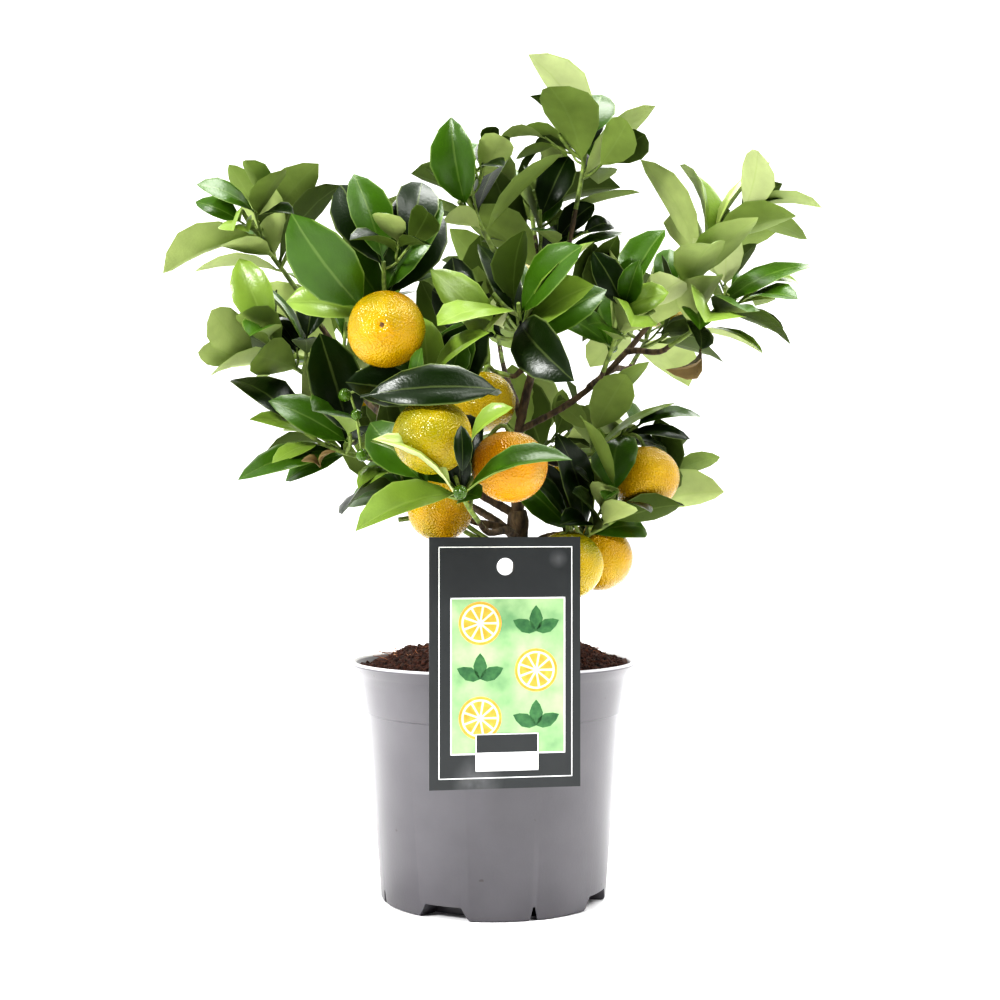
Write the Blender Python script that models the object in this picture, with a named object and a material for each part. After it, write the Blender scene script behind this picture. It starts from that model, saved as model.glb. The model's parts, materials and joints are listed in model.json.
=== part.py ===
"""A young calamondin orange tree in a grey nursery pot, as an assembly of named solids.

Metres, +Z up. The origin is the middle of the pot's flat underside. The front of the plant, where
its label hangs, faces -Y, and +X is to the right of it.

The pot, the peat in it, the label hooked on its rim, the trunk and each bough are one solid each.
Every mass of foliage is one solid too: a stem that carries on from its bough, the side shoots that
branch from it, and the leaves and fruit on those, joined.
"""

import itertools
import math
import random

import bmesh
import bpy
from mathutils import Vector
from mathutils.bvhtree import BVHTree

# Clearance between pieces that touch on the real plant.
GAP = 0.0003

# Faces of a joined mass that are this flat to each other, in degrees, become one.
FLAT_ANGLE = 0.2

# The pot is a 1.5 litre nursery pot, 15 cm across its rim.
POT_HEIGHT = 0.125
RIM_RADIUS = 0.075
BAND_TOP = 0.1134
BAND_TOP_RADIUS = 0.0700
BAND_FOOT = 0.0985
BAND_FOOT_RADIUS = 0.0679
WALL_TOP_RADIUS = 0.0668
FOOT_RADIUS = 0.0595
WALL = 0.0013
FLOOR = 0.0016
FOOT_ROUND = 0.0012
BAND_STEP = 0.0008
POT_SEGMENTS = 40

# The flared lip, outside and inside, as (in from the rim, down from the top).
LIP_OUTSIDE = ((0.0032, 0.0070), (0.0, 0.0018), (0.0004, 0.0))
LIP_INSIDE = ((0.0018, 0.0), (0.0048, 0.0062))

# Four drainage recesses and four slits round the foot, as angles from the front.
RECESSES = 4
RECESS_TURN = -25.0
RECESS_HEIGHT = 0.007
RECESS_DEPTH = 0.013
RECESS_HALF_ANGLE_FOOT = 14.4
RECESS_HALF_ANGLE_TOP = 9.6
BLOCK_SETBACK = 0.0006
SLIT_TURN = 20.0
SLIT_DEPTH = 0.0035
SLIT_HALF_ANGLE_FOOT = 2.4
SLIT_HALF_ANGLE_TOP = 0.5
CUT_OUTSIDE = 0.005
CUT_BELOW = 0.001

# The peat lies a little below the rim and is heaped round the trunk.
PEAT_EDGE = 0.1222
PEAT_CROWN = 0.1262
PEAT_LUMPS = 0.0009
PEAT_MOUND = 0.007
MOUND_INNER = (0.018, 0.030)
MOUND_OUTER = (0.048, 0.066)
TONGUE_DIP = 0.005
DIP_REACH = (0.012, 0.022)
DIP_MIDDLE = (0.007, -0.066)
PEAT_RADIUS = 0.0712
PEAT_SEGMENTS = 24
PEAT_RINGS = 5
PEAT_FLAT = 0.011
PEAT_TILT = 0.0010
PEAT_EASE = 0.0002
PEAT_SHOULDER = 0.0013

# The label is a card that leans in front of the pot, on a tongue hooked over the rim.
CARD_WIDTH = 0.074
CARD_HEIGHT = 0.121
CARD_THICK = 0.0008
CARD_MIDDLE = (0.006, -0.0815, 0.131)
CARD_YAW = 10.0
HOLE_RADIUS = 0.0042
HOLE_HEIGHT = 0.0463
CARD_CLEAR = CARD_HEIGHT / 2 + 0.004

# The tongue: up behind the card, bent back over the rim, and down inside it.
TONGUE_WIDTH = 0.020
TONGUE_TOP = 0.022
TONGUE_BEND = 0.008
TONGUE_SLOPE = ((0.0012, 0.0025), (0.0035, 0.0))
TONGUE_INSIDE = 0.0072
TONGUE_CORNER = 0.0015
TONGUE_END = 0.0042
HOLE_SEGMENTS = 16
CUT_THROUGH = 0.01

# The trunk stands on the peat and forks low down.
TRUNK_FOOT = Vector((0.012, 0.0, PEAT_CROWN + GAP))
TRUNK_TOP = Vector((0.0125, 0.0, 0.204))
TRUNK_BOW = Vector((0.003, 0.002, 0.0))
TRUNK_RADIUS = 0.0049
TRUNK_FLARE = 0.0030
TRUNK_KNOB = 0.0016
TRUNK_SIDES = 10
TRUNK_STEPS = 12

# Boughs taper from where they leave the trunk or another bough to where they enter a mass.
LEADER_RADIUS = 0.0029
BOUGH_RADIUS = 0.0024
BRANCH_RADIUS = 0.0018
BOUGH_TIP_RADIUS = 0.0013
BOUGH_SIDES = 5
BOUGH_STEPS = 5
AXIL_ANGLE = 56.0
SEAT_REACH = 0.09
ENTRY = 0.62
UPSWEEP = 0.30
BEND_HANDLE = 0.36
TUBE_HINT = Vector((0.31, -0.87, 0.38))
FLARE_LENGTH = 0.07
KNOB_AT = 0.93
KNOB_LENGTH = 0.07
TRUNK_TAPER = 0.86

# A mass: its stem, side shoots and leaves.
STEM_RADIUS = 0.0013
SHOOT_RADIUS = 0.0011
SHOOT_EXTRA = 0.008
SIDE_SHOOTS = 3
TWIG_SIDES = 3
STEM_OVERSHOOT = 0.16
STEM_TAPER = 0.8
STEM_RISE = Vector((0.0, 0.0, 0.5))
STEM_STEPS = 4
STEM_NODES = 8
NODES_FROM = 0.35
SHOOT_STEPS = 2
SHOOT_SPACING = 0.22
SHOOT_REACH = (0.28, 0.42)
SHOOT_ALONG = 0.5
SHOOT_RISE = Vector((0.0, 0.0, 0.25))
SHOOT_SIDE_RISE = 0.35
STEM_PLACES = (0.30, 1.0, 8)
SHOOT_PLACES = (0.55, 1.0, 3)
LEAVES_A_MASS = 9
LEAF_LENGTHS = (0.046, 0.064)
LONGEST_LEAF = 0.066
NAMED_LENGTH = 0.054
NAMED_ROLLS = (0.0, 0.7, -0.7, 1.6, -1.6)
LEAF_WIDTH = 0.52
LEAF_THICK = 0.0012
LEAF_ROOT = 0.0008
ROOT_SINK = 0.0012
LEAF_DROOP = 0.10
LEAF_CLEARANCE = 0.0005
CROWN_MIDDLE = Vector((0.0, 0.0, 0.27))
FACE_ALONG = 0.9
FACE_UP = 0.55
FACE_OUT = 0.15
ROLL_SPREAD = 0.5
WIDTH_SPREAD = 0.1
GOLDEN_TURN = math.radians(137.5)
LEAF_TRIES = 8
TRY_TURN = 1.3
TRY_SHORTER = 0.07
TURN_SPREAD = 0.3
LEAF_SPREAD = (28, 55)
SPREAD_AT_FOOT = 42
LEAF_RISE = Vector((0.0, 0.0, 0.12))
LEAF_SIDE = Vector((0.2, -0.3, 1.0))
LEAF_STATIONS = ((0.36, 0.47), (0.68, 0.42))
SEEN_AT = (0.3, 0.5, 0.7, 0.9, 1.0)

# Fruit are a little flattened, and hang from a short stalk.
FRUIT_FLATTEN = 0.94
FRUIT_SEGMENTS = 9
FRUIT_RINGS = 6
STALK_RADIUS = 0.0011
STALK_SINK = 0.0020
STALK_STEPS = 4
STALK_FROM = tuple(0.15 + 0.1 * k for k in range(6))
STALK_LAUNCH = Vector((0.0, 0.0, 0.6))
STALK_ARCH = 0.105
LEAST_ARCH = 0.0012
FRUIT_WINDOW = 0.80

# A fruit behind this depth faces the back.
BACK_FROM = 0.05

# Each mass: its name, middle, reach, the limb its bough leaves, how far along that limb, and seed.
MASSES = (
    ("top", (0.049, 0.000, 0.401), 0.060, "trunk", 1.00, 104),
    ("left_crest", (-0.122, -0.010, 0.349), 0.058, "trunk", 0.97, 31),
    ("right_crest", (0.120, 0.000, 0.357), 0.056, "top", 0.26, 58),
    ("crest_left", (-0.012, -0.030, 0.366), 0.053, "top", 0.62, 30),
    ("centre_upper", (0.025, 0.015, 0.350), 0.052, "top", 0.50, 25),
    ("centre", (0.013, -0.085, 0.300), 0.052, "top", 0.42, 57),
    ("inner", (-0.012, 0.015, 0.294), 0.048, "top", 0.46, 25),
    ("left_flank", (-0.112, -0.020, 0.289), 0.053, "left_crest", 0.62, 35),
    ("left_foot", (-0.089, -0.040, 0.243), 0.055, "left_crest", 0.36, 1),
    ("left_front", (-0.052, -0.090, 0.316), 0.060, "left_crest", 0.50, 33),
    ("centre_low", (-0.030, -0.095, 0.262), 0.048, "left_crest", 0.24, 47),
    ("front_foot", (-0.015, -0.105, 0.217), 0.056, "trunk", 0.76, 55),
    ("right_inner", (0.064, -0.040, 0.301), 0.052, "right_crest", 0.34, 18),
    ("right_flank", (0.112, -0.045, 0.309), 0.058, "right_crest", 0.58, 29),
    ("right_foot", (0.067, -0.005, 0.247), 0.054, "top", 0.16, 12),
    ("right_low", (0.050, -0.030, 0.197), 0.052, "trunk", 0.74, 3),
    ("right_side", (0.092, 0.035, 0.217), 0.050, "trunk", 0.70, 39),
    ("low_left", (-0.042, -0.012, 0.227), 0.055, "trunk", 0.82, 51),
    ("back_left", (-0.090, 0.075, 0.300), 0.058, "left_crest", 0.42, 32),
    ("back_right", (0.090, 0.085, 0.310), 0.058, "right_crest", 0.44, 56),
    ("back_centre", (0.000, 0.105, 0.325), 0.058, "top", 0.28, 22),
    ("back_top", (0.020, 0.060, 0.385), 0.053, "top", 0.68, 25),
    ("back_low", (0.030, 0.100, 0.245), 0.055, "trunk", 0.94, 1),
    ("back_foot", (-0.052, 0.080, 0.250), 0.054, "trunk", 0.78, 8),
)

# Leaf tips that draw the outline of the crown and of its front, by mass, some with a roll.
LEAF_TIPS = {
    "top": ((0.019, -0.005, 0.446), (0.086, 0.000, 0.420), (0.059, 0.020, 0.431)),
    "crest_left": ((-0.029, -0.030, 0.401), (-0.035, -0.020, 0.383), (-0.026, -0.050, 0.349)),
    "left_crest": ((-0.136, -0.020, 0.383), (-0.093, -0.005, 0.388), (-0.172, -0.020, 0.328)),
    "left_flank": ((-0.146, -0.030, 0.276), (-0.142, -0.020, 0.301)),
    "left_foot": ((-0.128, -0.050, 0.219), (-0.122, -0.045, 0.253), (-0.136, -0.020, 0.272)),
    "left_front": ((-0.077, -0.100, 0.332), (-0.026, -0.070, 0.351)),
    "centre_low": ((0.002, -0.125, 0.258),),
    "front_foot": (
        (-0.063, -0.120, 0.196),
        (-0.055, -0.120, 0.237),
        (0.036, -0.135, 0.229, -1.6, -1.1, -0.7),
    ),
    "centre": ((-0.025, -0.125, 0.290), (0.047, -0.100, 0.311), (0.037, -0.120, 0.264)),
    "right_inner": ((0.059, -0.060, 0.334), (0.076, -0.050, 0.344)),
    "centre_upper": ((0.080, 0.020, 0.378),),
    "right_crest": ((0.175, 0.000, 0.366), (0.149, 0.010, 0.392), (0.101, 0.020, 0.392)),
    "right_flank": ((0.163, -0.040, 0.330), (0.135, -0.055, 0.284), (0.110, -0.070, 0.319)),
    "right_foot": ((0.097, 0.000, 0.262), (0.060, -0.050, 0.217)),
    "right_low": ((0.081, 0.000, 0.194),),
    "right_side": ((0.127, 0.030, 0.214),),
}

# Fruit by the mass that carries them: middle and diameter.
FRUITS = {
    "left_front": (((-0.049, -0.115, 0.288), 0.036),),
    "front_foot": (((-0.027, -0.129, 0.238), 0.0365), ((0.008, -0.100, 0.225), 0.036)),
    "inner": (((-0.005, 0.000, 0.262), 0.034),),
    "low_left": (((-0.027, -0.035, 0.2045), 0.034),),
    "right_foot": (((0.079, -0.017, 0.221), 0.036),),
    "right_low": (((0.054, -0.012, 0.180), 0.038), ((0.037, -0.055, 0.177), 0.036)),
    "back_left": (((-0.082, 0.100, 0.268), 0.036),),
    "back_right": (((0.100, 0.110, 0.330), 0.035),),
    "back_centre": (((0.020, 0.128, 0.338), 0.036),),
    "back_low": (((0.036, 0.122, 0.218), 0.036),),
    "back_foot": (((-0.060, 0.098, 0.222), 0.034),),
}

COLOURS = {
    "pot": ((0.216, 0.209, 0.223), 0.45),
    "peat": ((0.045, 0.022, 0.014), 0.95),
    "label": ((0.038, 0.045, 0.048), 0.40),
    "trunk": ((0.110, 0.085, 0.055), 0.85),
    "bough": ((0.095, 0.110, 0.050), 0.80),
    "foliage": ((0.060, 0.145, 0.030), 0.45),
}


def clear_scene():
    """Remove whatever the file holds, so that only the plant is in it."""
    for old in list(bpy.data.objects):
        bpy.data.objects.remove(old, do_unlink=True)


def material(kind):
    """The plain material of one kind of sub-part."""
    found = bpy.data.materials.get(kind)
    if found:
        return found
    colour, roughness = COLOURS[kind]
    made = bpy.data.materials.new(kind)
    made.use_nodes = True
    shader = made.node_tree.nodes["Principled BSDF"]
    shader.inputs["Base Color"].default_value = (*colour, 1.0)
    shader.inputs["Roughness"].default_value = roughness
    shader.inputs["Metallic"].default_value = 0.0
    return made


def add_object(name, verts, faces, kind, collection=None):
    """Make an object of the given mesh, in flat triangles with their faces turned outward."""
    mesh = bpy.data.meshes.new(name)
    mesh.from_pydata([tuple(v) for v in verts], [], faces)
    shell = bmesh.new()
    shell.from_mesh(mesh)
    bmesh.ops.triangulate(shell, faces=shell.faces, quad_method="FIXED")
    bmesh.ops.recalc_face_normals(shell, faces=shell.faces)
    shell.to_mesh(mesh)
    shell.free()
    mesh.materials.append(material(kind))
    made = bpy.data.objects.new(name, mesh)
    (collection or bpy.context.scene.collection).objects.link(made)
    return made


def is_closed(mesh):
    """Whether every edge of a mesh has exactly two faces."""
    shell = bmesh.new()
    shell.from_mesh(mesh)
    closed = all(edge.is_manifold for edge in shell.edges)
    shell.free()
    return closed


def join_by_boolean(target, others, operation):
    """Join others to the target, or cut them from it, in one Boolean on a collection."""
    collection = bpy.data.collections.new("operands")
    bpy.context.scene.collection.children.link(collection)
    for other in others:
        for home in other.users_collection:
            home.objects.unlink(other)
        collection.objects.link(other)
    step = target.modifiers.new("join", "BOOLEAN")
    step.operation = operation
    step.operand_type = "COLLECTION"
    step.collection = collection
    for solver in ("EXACT", "MANIFOLD"):
        step.solver = solver
        depsgraph = bpy.context.evaluated_depsgraph_get()
        result = bpy.data.meshes.new_from_object(target.evaluated_get(depsgraph))
        if is_closed(result):
            break
    target.modifiers.clear()
    target.data = result
    for other in others:
        bpy.data.objects.remove(other, do_unlink=True)
    bpy.data.collections.remove(collection)


def keep_main_body(target, flat_angle=0.0):
    """Fill the hollows that a join sealed and drop loose scraps: only the largest shell stays."""
    shell = bmesh.new()
    shell.from_mesh(target.data)
    left = set(shell.verts)
    islands = []
    while left:
        island = {left.pop()}
        edge_of = list(island)
        while edge_of:
            for edge in edge_of.pop().link_edges:
                for vert in edge.verts:
                    if vert in left:
                        left.discard(vert)
                        island.add(vert)
                        edge_of.append(vert)
        islands.append(island)
    islands.sort(key=len)
    scraps = [vert for island in islands[:-1] for vert in island]
    bmesh.ops.delete(shell, geom=scraps, context="VERTS")
    if flat_angle:
        limit = math.radians(flat_angle)
        bmesh.ops.dissolve_limit(shell, angle_limit=limit, verts=shell.verts, edges=shell.edges)
    bmesh.ops.triangulate(shell, faces=shell.faces)
    shell.to_mesh(target.data)
    shell.free()


def shade_round(target, angle=40.0):
    """Shade a piece smooth but for its sharp edges."""
    target.data.shade_smooth()
    target.data.set_sharp_from_angle(angle=math.radians(angle))


def turned(profile, segments, lift=None):
    """Verts and faces of a solid turned about Z from (radius, height) points, axis to axis."""
    verts, rings, faces = [], [], []
    for radius, height in profile:
        if radius == 0.0:
            rings.append([len(verts)])
            verts.append((0.0, 0.0, height + (lift(0.0, 0.0, height) if lift else 0.0)))
            continue
        rings.append(list(range(len(verts), len(verts) + segments)))
        for k in range(segments):
            angle = 2 * math.pi * k / segments
            x = radius * math.cos(angle)
            y = radius * math.sin(angle)
            verts.append((x, y, height + (lift(x, y, height) if lift else 0.0)))
    for low, high in zip(rings, rings[1:]):
        for k in range(segments):
            after = (k + 1) % segments
            if len(low) == 1:
                faces.append((low[0], high[after], high[k]))
            elif len(high) == 1:
                faces.append((low[k], low[after], high[0]))
            else:
                faces.append((low[k], low[after], high[after], high[k]))
    return verts, faces


def sector(inner, outer, foot, top, half_foot, half_top, turn, steps=4):
    """Verts and faces of an arc-shaped block whose width in degrees changes with height."""
    verts, faces = [], []
    for k in range(steps + 1):
        share = 2.0 * k / steps - 1.0
        for height, half in ((foot, half_foot), (top, half_top)):
            angle = math.radians(turn + share * half)
            for radius in (inner, outer):
                verts.append((radius * math.sin(angle), -radius * math.cos(angle), height))
    for k in range(steps):
        a, b = 4 * k, 4 * k + 4
        for near, far in ((0, 1), (1, 3), (3, 2), (2, 0)):
            faces.append((a + near, b + near, b + far, a + far))
    last = 4 * steps
    faces.append((0, 1, 3, 2))
    faces.append((last, last + 2, last + 3, last + 1))
    return verts, faces


def recess_blocks(clearance, kind):
    """The hollow blocks that the pot's floor rises over, grown by a clearance."""
    blocks = []
    spread = math.degrees((WALL + clearance) / FOOT_RADIUS)
    for k in range(RECESSES):
        verts, faces = sector(
            FOOT_RADIUS - RECESS_DEPTH - WALL - clearance,
            FOOT_RADIUS - BLOCK_SETBACK + clearance,
            FLOOR / 2 - clearance,
            RECESS_HEIGHT + WALL + clearance,
            RECESS_HALF_ANGLE_FOOT + spread,
            RECESS_HALF_ANGLE_TOP + spread,
            RECESS_TURN + k * 360.0 / RECESSES,
        )
        blocks.append(add_object(f"recess_block_{k}", verts, faces, kind))
    return blocks


def make_pot():
    """Thin turned wall with a flared lip, a thicker band below it, and drainage at the foot."""
    profile = (
        (0.0, 0.0),
        (FOOT_RADIUS - FOOT_ROUND, 0.0),
        (FOOT_RADIUS, FOOT_ROUND),
        (WALL_TOP_RADIUS, BAND_FOOT - BAND_STEP),
        (BAND_FOOT_RADIUS, BAND_FOOT),
        (BAND_TOP_RADIUS, BAND_TOP),
        *((RIM_RADIUS - inset, POT_HEIGHT - drop) for inset, drop in LIP_OUTSIDE + LIP_INSIDE),
        (BAND_TOP_RADIUS - WALL, BAND_TOP),
        (WALL_TOP_RADIUS - WALL, BAND_FOOT),
        (FOOT_RADIUS - WALL, FLOOR),
        (0.0, FLOOR),
    )
    verts, faces = turned(profile, POT_SEGMENTS)
    pot = add_object("pot", verts, faces, "pot")
    join_by_boolean(pot, recess_blocks(0.0, "pot"), "UNION")
    cutters = []
    for k in range(RECESSES):
        quarter = k * 360.0 / RECESSES
        verts, faces = sector(
            FOOT_RADIUS - RECESS_DEPTH,
            FOOT_RADIUS + CUT_OUTSIDE,
            -CUT_BELOW,
            RECESS_HEIGHT,
            RECESS_HALF_ANGLE_FOOT,
            RECESS_HALF_ANGLE_TOP,
            RECESS_TURN + quarter,
        )
        cutters.append(add_object(f"recess_{k}", verts, faces, "pot"))
        verts, faces = sector(
            FOOT_RADIUS - SLIT_DEPTH,
            FOOT_RADIUS + CUT_OUTSIDE,
            -CUT_BELOW,
            RECESS_HEIGHT,
            SLIT_HALF_ANGLE_FOOT,
            SLIT_HALF_ANGLE_TOP,
            SLIT_TURN + quarter,
            steps=1,
        )
        cutters.append(add_object(f"slit_{k}", verts, faces, "pot"))
    join_by_boolean(pot, cutters, "DIFFERENCE")
    keep_main_body(pot)
    shade_round(pot)
    return pot


def eased(value, low, high):
    """A smooth step from 0 at low to 1 at high."""
    share = min(1.0, max(0.0, (value - low) / (high - low)))
    return share * share * (3.0 - 2.0 * share)


def peat_height(x, y):
    """Height of the peat's top: a lumpy ring-shaped heap, flat at the trunk, low at the tongue."""
    away = math.hypot(x - TRUNK_FOOT.x, y - TRUNK_FOOT.y)
    slope = min(1.0, max(0.0, away - PEAT_FLAT) / (RIM_RADIUS - 2 * PEAT_FLAT))
    lumps = math.sin(171 * x + 2.1) * math.sin(143 * y + 0.4) + 0.6 * math.sin(307 * (x - y))
    side = PEAT_TILT * slope * (x + y) / RIM_RADIUS
    height = PEAT_CROWN - (PEAT_CROWN - PEAT_EDGE) * slope**1.6
    heap = eased(away, *MOUND_INNER) * (1.0 - eased(math.hypot(x, y), *MOUND_OUTER))
    dip = 1.0 - eased(math.hypot(x - DIP_MIDDLE[0], y - DIP_MIDDLE[1]), *DIP_REACH)
    return height + side + PEAT_LUMPS * lumps * slope + PEAT_MOUND * heap - TONGUE_DIP * dip


def inside_pot(x, y, z):
    """A point of the peat, drawn in where it would come too near the flared wall."""
    inset, drop = LIP_INSIDE[1]
    low, high = BAND_TOP_RADIUS - WALL, RIM_RADIUS - inset
    if z < POT_HEIGHT - drop:
        radius = low + (high - low) * (z - BAND_TOP) / (POT_HEIGHT - drop - BAND_TOP)
    else:
        radius = high + (inset - LIP_INSIDE[0][0]) * (z - POT_HEIGHT + drop) / drop
    ease = min(1.0, (radius - GAP - PEAT_EASE) / max(math.hypot(x, y), GAP))
    return (x * ease, y * ease, z) if z > BAND_TOP else (x, y, z)


def make_peat():
    """A plug of peat that fills the pot, clear of the wall and of the raised drainage blocks."""
    inset = WALL + GAP + PEAT_EASE
    profile = [
        (0.0, FLOOR + GAP),
        (FOOT_RADIUS - inset, FLOOR + GAP),
        (WALL_TOP_RADIUS - inset, BAND_FOOT),
        (BAND_TOP_RADIUS - inset - PEAT_SHOULDER, BAND_TOP),
    ]
    for k in range(PEAT_RINGS):
        profile.append((PEAT_RADIUS * (1.0 - k / PEAT_RINGS), POT_HEIGHT))
    profile.append((0.0, POT_HEIGHT))

    def settle(x, y, height):
        return peat_height(x, y) - POT_HEIGHT if height == POT_HEIGHT else 0.0

    verts, faces = turned(profile, PEAT_SEGMENTS, settle)
    peat = add_object("peat", [inside_pot(*v) for v in verts], faces, "peat")
    join_by_boolean(peat, recess_blocks(GAP, "peat"), "DIFFERENCE")
    keep_main_body(peat)
    shade_round(peat)
    return peat


def strip(path, thick, width):
    """Verts and faces of a flat strip of even thickness along a path of (y, z) points."""
    verts, faces = [], []
    for k, (y, z) in enumerate(path):
        before = path[max(0, k - 1)]
        after = path[min(len(path) - 1, k + 1)]
        along = Vector((after[0] - before[0], after[1] - before[1])).normalized()
        off = Vector((-along.y, along.x)) * thick / 2
        for side in (1, -1):
            for x in (-width / 2, width / 2):
                verts.append((x, y + side * off.x, z + side * off.y))
    for k in range(len(path) - 1):
        a, b = 4 * k, 4 * k + 4
        for near, far in ((0, 1), (1, 3), (3, 2), (2, 0)):
            faces.append((a + near, a + far, b + far, b + near))
    last = 4 * (len(path) - 1)
    faces.append((0, 2, 3, 1))
    faces.append((last, last + 1, last + 3, last + 2))
    return verts, faces


def make_label():
    """A card with a hanging hole and a tongue that bends back over the rim and down inside it."""
    half_w, half_h, half_t = CARD_WIDTH / 2, CARD_HEIGHT / 2, CARD_THICK / 2
    corners = [
        (x, y, z) for z in (-half_h, half_h) for y in (-half_t, half_t) for x in (-half_w, half_w)
    ]
    faces = [(0, 1, 3, 2), (4, 6, 7, 5), (0, 4, 5, 1), (2, 3, 7, 6), (0, 2, 6, 4), (1, 5, 7, 3)]
    card = add_object("label", corners, faces, "label")
    over_rim = POT_HEIGHT - CARD_MIDDLE[2] + GAP + half_t
    inside_rim = -RIM_RADIUS - CARD_MIDDLE[1] + TONGUE_INSIDE
    path = [
        (half_t, over_rim + TONGUE_TOP),
        (half_t, over_rim + TONGUE_BEND),
        *((half_t + back, over_rim + rise) for back, rise in TONGUE_SLOPE),
        (inside_rim - TONGUE_CORNER, over_rim),
        (inside_rim, over_rim - TONGUE_CORNER),
        (inside_rim, over_rim - TONGUE_END),
    ]
    verts, faces = strip(path, CARD_THICK, TONGUE_WIDTH)
    tongue = add_object("tongue", verts, faces, "label")
    join_by_boolean(card, [tongue], "UNION")
    ends = (-CUT_THROUGH, CUT_THROUGH)
    profile = ((0.0, ends[0]), (HOLE_RADIUS, ends[0]), (HOLE_RADIUS, ends[1]), (0.0, ends[1]))
    verts, faces = turned(profile, HOLE_SEGMENTS)
    verts = [(x, z, y + HOLE_HEIGHT) for x, y, z in verts]
    hole = add_object("hole", verts, faces, "label")
    join_by_boolean(card, [hole], "DIFFERENCE")
    keep_main_body(card)
    card.location = CARD_MIDDLE
    card.rotation_euler = (0.0, 0.0, math.radians(CARD_YAW))
    return card


class Limb:
    """A tapering limb: points along its middle line, with a radius at each."""

    def __init__(self, points, thick, thin):
        self.points = points
        steps = len(points) - 1
        self.radii = [thick + (thin - thick) * k / steps for k in range(steps + 1)]

    def at(self, share):
        """Place, direction and radius at a share of the limb's steps."""
        place = min(1.0, max(0.0, share)) * (len(self.points) - 1)
        k = min(int(place), len(self.points) - 2)
        rest = place - k
        point = self.points[k].lerp(self.points[k + 1], rest)
        along = (self.points[k + 1] - self.points[k]).normalized()
        radius = self.radii[k] * (1 - rest) + self.radii[k + 1] * rest
        return point, along, radius


def bent(start, launch, finish, arrival, steps):
    """Points of a smooth bend that leaves along launch and arrives along arrival."""
    handle = (finish - start).length * BEND_HANDLE
    a = start + launch * handle
    b = finish - arrival * handle
    points = []
    for k in range(steps + 1):
        t = k / steps
        u = 1 - t
        points.append(start * u**3 + a * (3 * u * u * t) + b * (3 * u * t * t) + finish * t**3)
    return points


def square_to(direction, hint):
    """The unit vector square to direction that lies nearest to hint."""
    flat = hint - direction * hint.dot(direction)
    if flat.length < 1e-6:
        flat = direction.orthogonal()
    return flat.normalized()


def tube(limb, sides, saddle=None, grow=0.0):
    """Verts and faces of a limb. A saddle (point, normal) is the plane its first ring lies in."""
    verts, faces = [], []
    points = limb.points
    side = square_to((points[1] - points[0]).normalized(), TUBE_HINT)
    for k, point in enumerate(points):
        before = points[max(0, k - 1)]
        after = points[min(len(points) - 1, k + 1)]
        along = (after - before).normalized()
        side = square_to(along, side)
        across = along.cross(side)
        for j in range(sides):
            angle = 2 * math.pi * j / sides
            ray = side * math.cos(angle) + across * math.sin(angle)
            place = point + ray * (limb.radii[k] + grow)
            if k == 0 and saddle:
                seat, normal = saddle
                place = place + along * ((seat - place).dot(normal) / along.dot(normal))
            verts.append(place)
    for k in range(len(points) - 1):
        for j in range(sides):
            after = (j + 1) % sides
            a, b = k * sides, (k + 1) * sides
            faces.append((a + j, a + after, b + after, b + j))
    faces.append(tuple(reversed(range(sides))))
    faces.append(tuple(range((len(points) - 1) * sides, len(points) * sides)))
    return verts, faces


def make_trunk():
    """The trunk: flared on the peat, leaning a little, with a knob where it was pruned to fork."""
    points = []
    for k in range(TRUNK_STEPS + 1):
        t = k / TRUNK_STEPS
        points.append(TRUNK_FOOT.lerp(TRUNK_TOP, t) + TRUNK_BOW * math.sin(math.pi * t))
    trunk = Limb(points, TRUNK_RADIUS, TRUNK_RADIUS * TRUNK_TAPER)
    for k in range(TRUNK_STEPS + 1):
        t = k / TRUNK_STEPS
        flare = TRUNK_FLARE * math.exp(-t / FLARE_LENGTH)
        knob = TRUNK_KNOB * math.exp(-(((t - KNOB_AT) / KNOB_LENGTH) ** 2))
        trunk.radii[k] += flare + knob
    verts, faces = tube(trunk, TRUNK_SIDES, saddle=(TRUNK_FOOT, Vector((0, 0, 1))))
    solid = add_object("trunk", verts, faces, "trunk")
    shade_round(solid)
    return trunk


def plan_bough(centre, reach, parent, share, is_leader):
    """The limb from its parent to where it enters a mass, and the plane its foot lies in."""
    place, along, radius = parent.at(share)
    arrival = ((centre - place).normalized() + Vector((0, 0, UPSWEEP))).normalized()
    entry = centre - arrival * reach * ENTRY
    if is_leader:
        start = place + along * GAP
        points = bent(start, along, entry, arrival, BOUGH_STEPS)
        return Limb(points, LEADER_RADIUS, BOUGH_TIP_RADIUS), (start, along)
    radius = max(parent.at(share + step)[2] for step in (-SEAT_REACH, 0.0, SEAT_REACH))
    outward = square_to(along, entry - place)
    axil = math.radians(AXIL_ANGLE)
    launch = (along * math.cos(axil) + outward * math.sin(axil)).normalized()
    seat = place + outward * (radius + GAP)
    start = place + launch * ((radius + GAP) / math.sin(axil))
    points = bent(start, launch, entry, arrival, BOUGH_STEPS)
    return Limb(points, BRANCH_RADIUS, BOUGH_TIP_RADIUS), (seat, outward)


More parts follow.
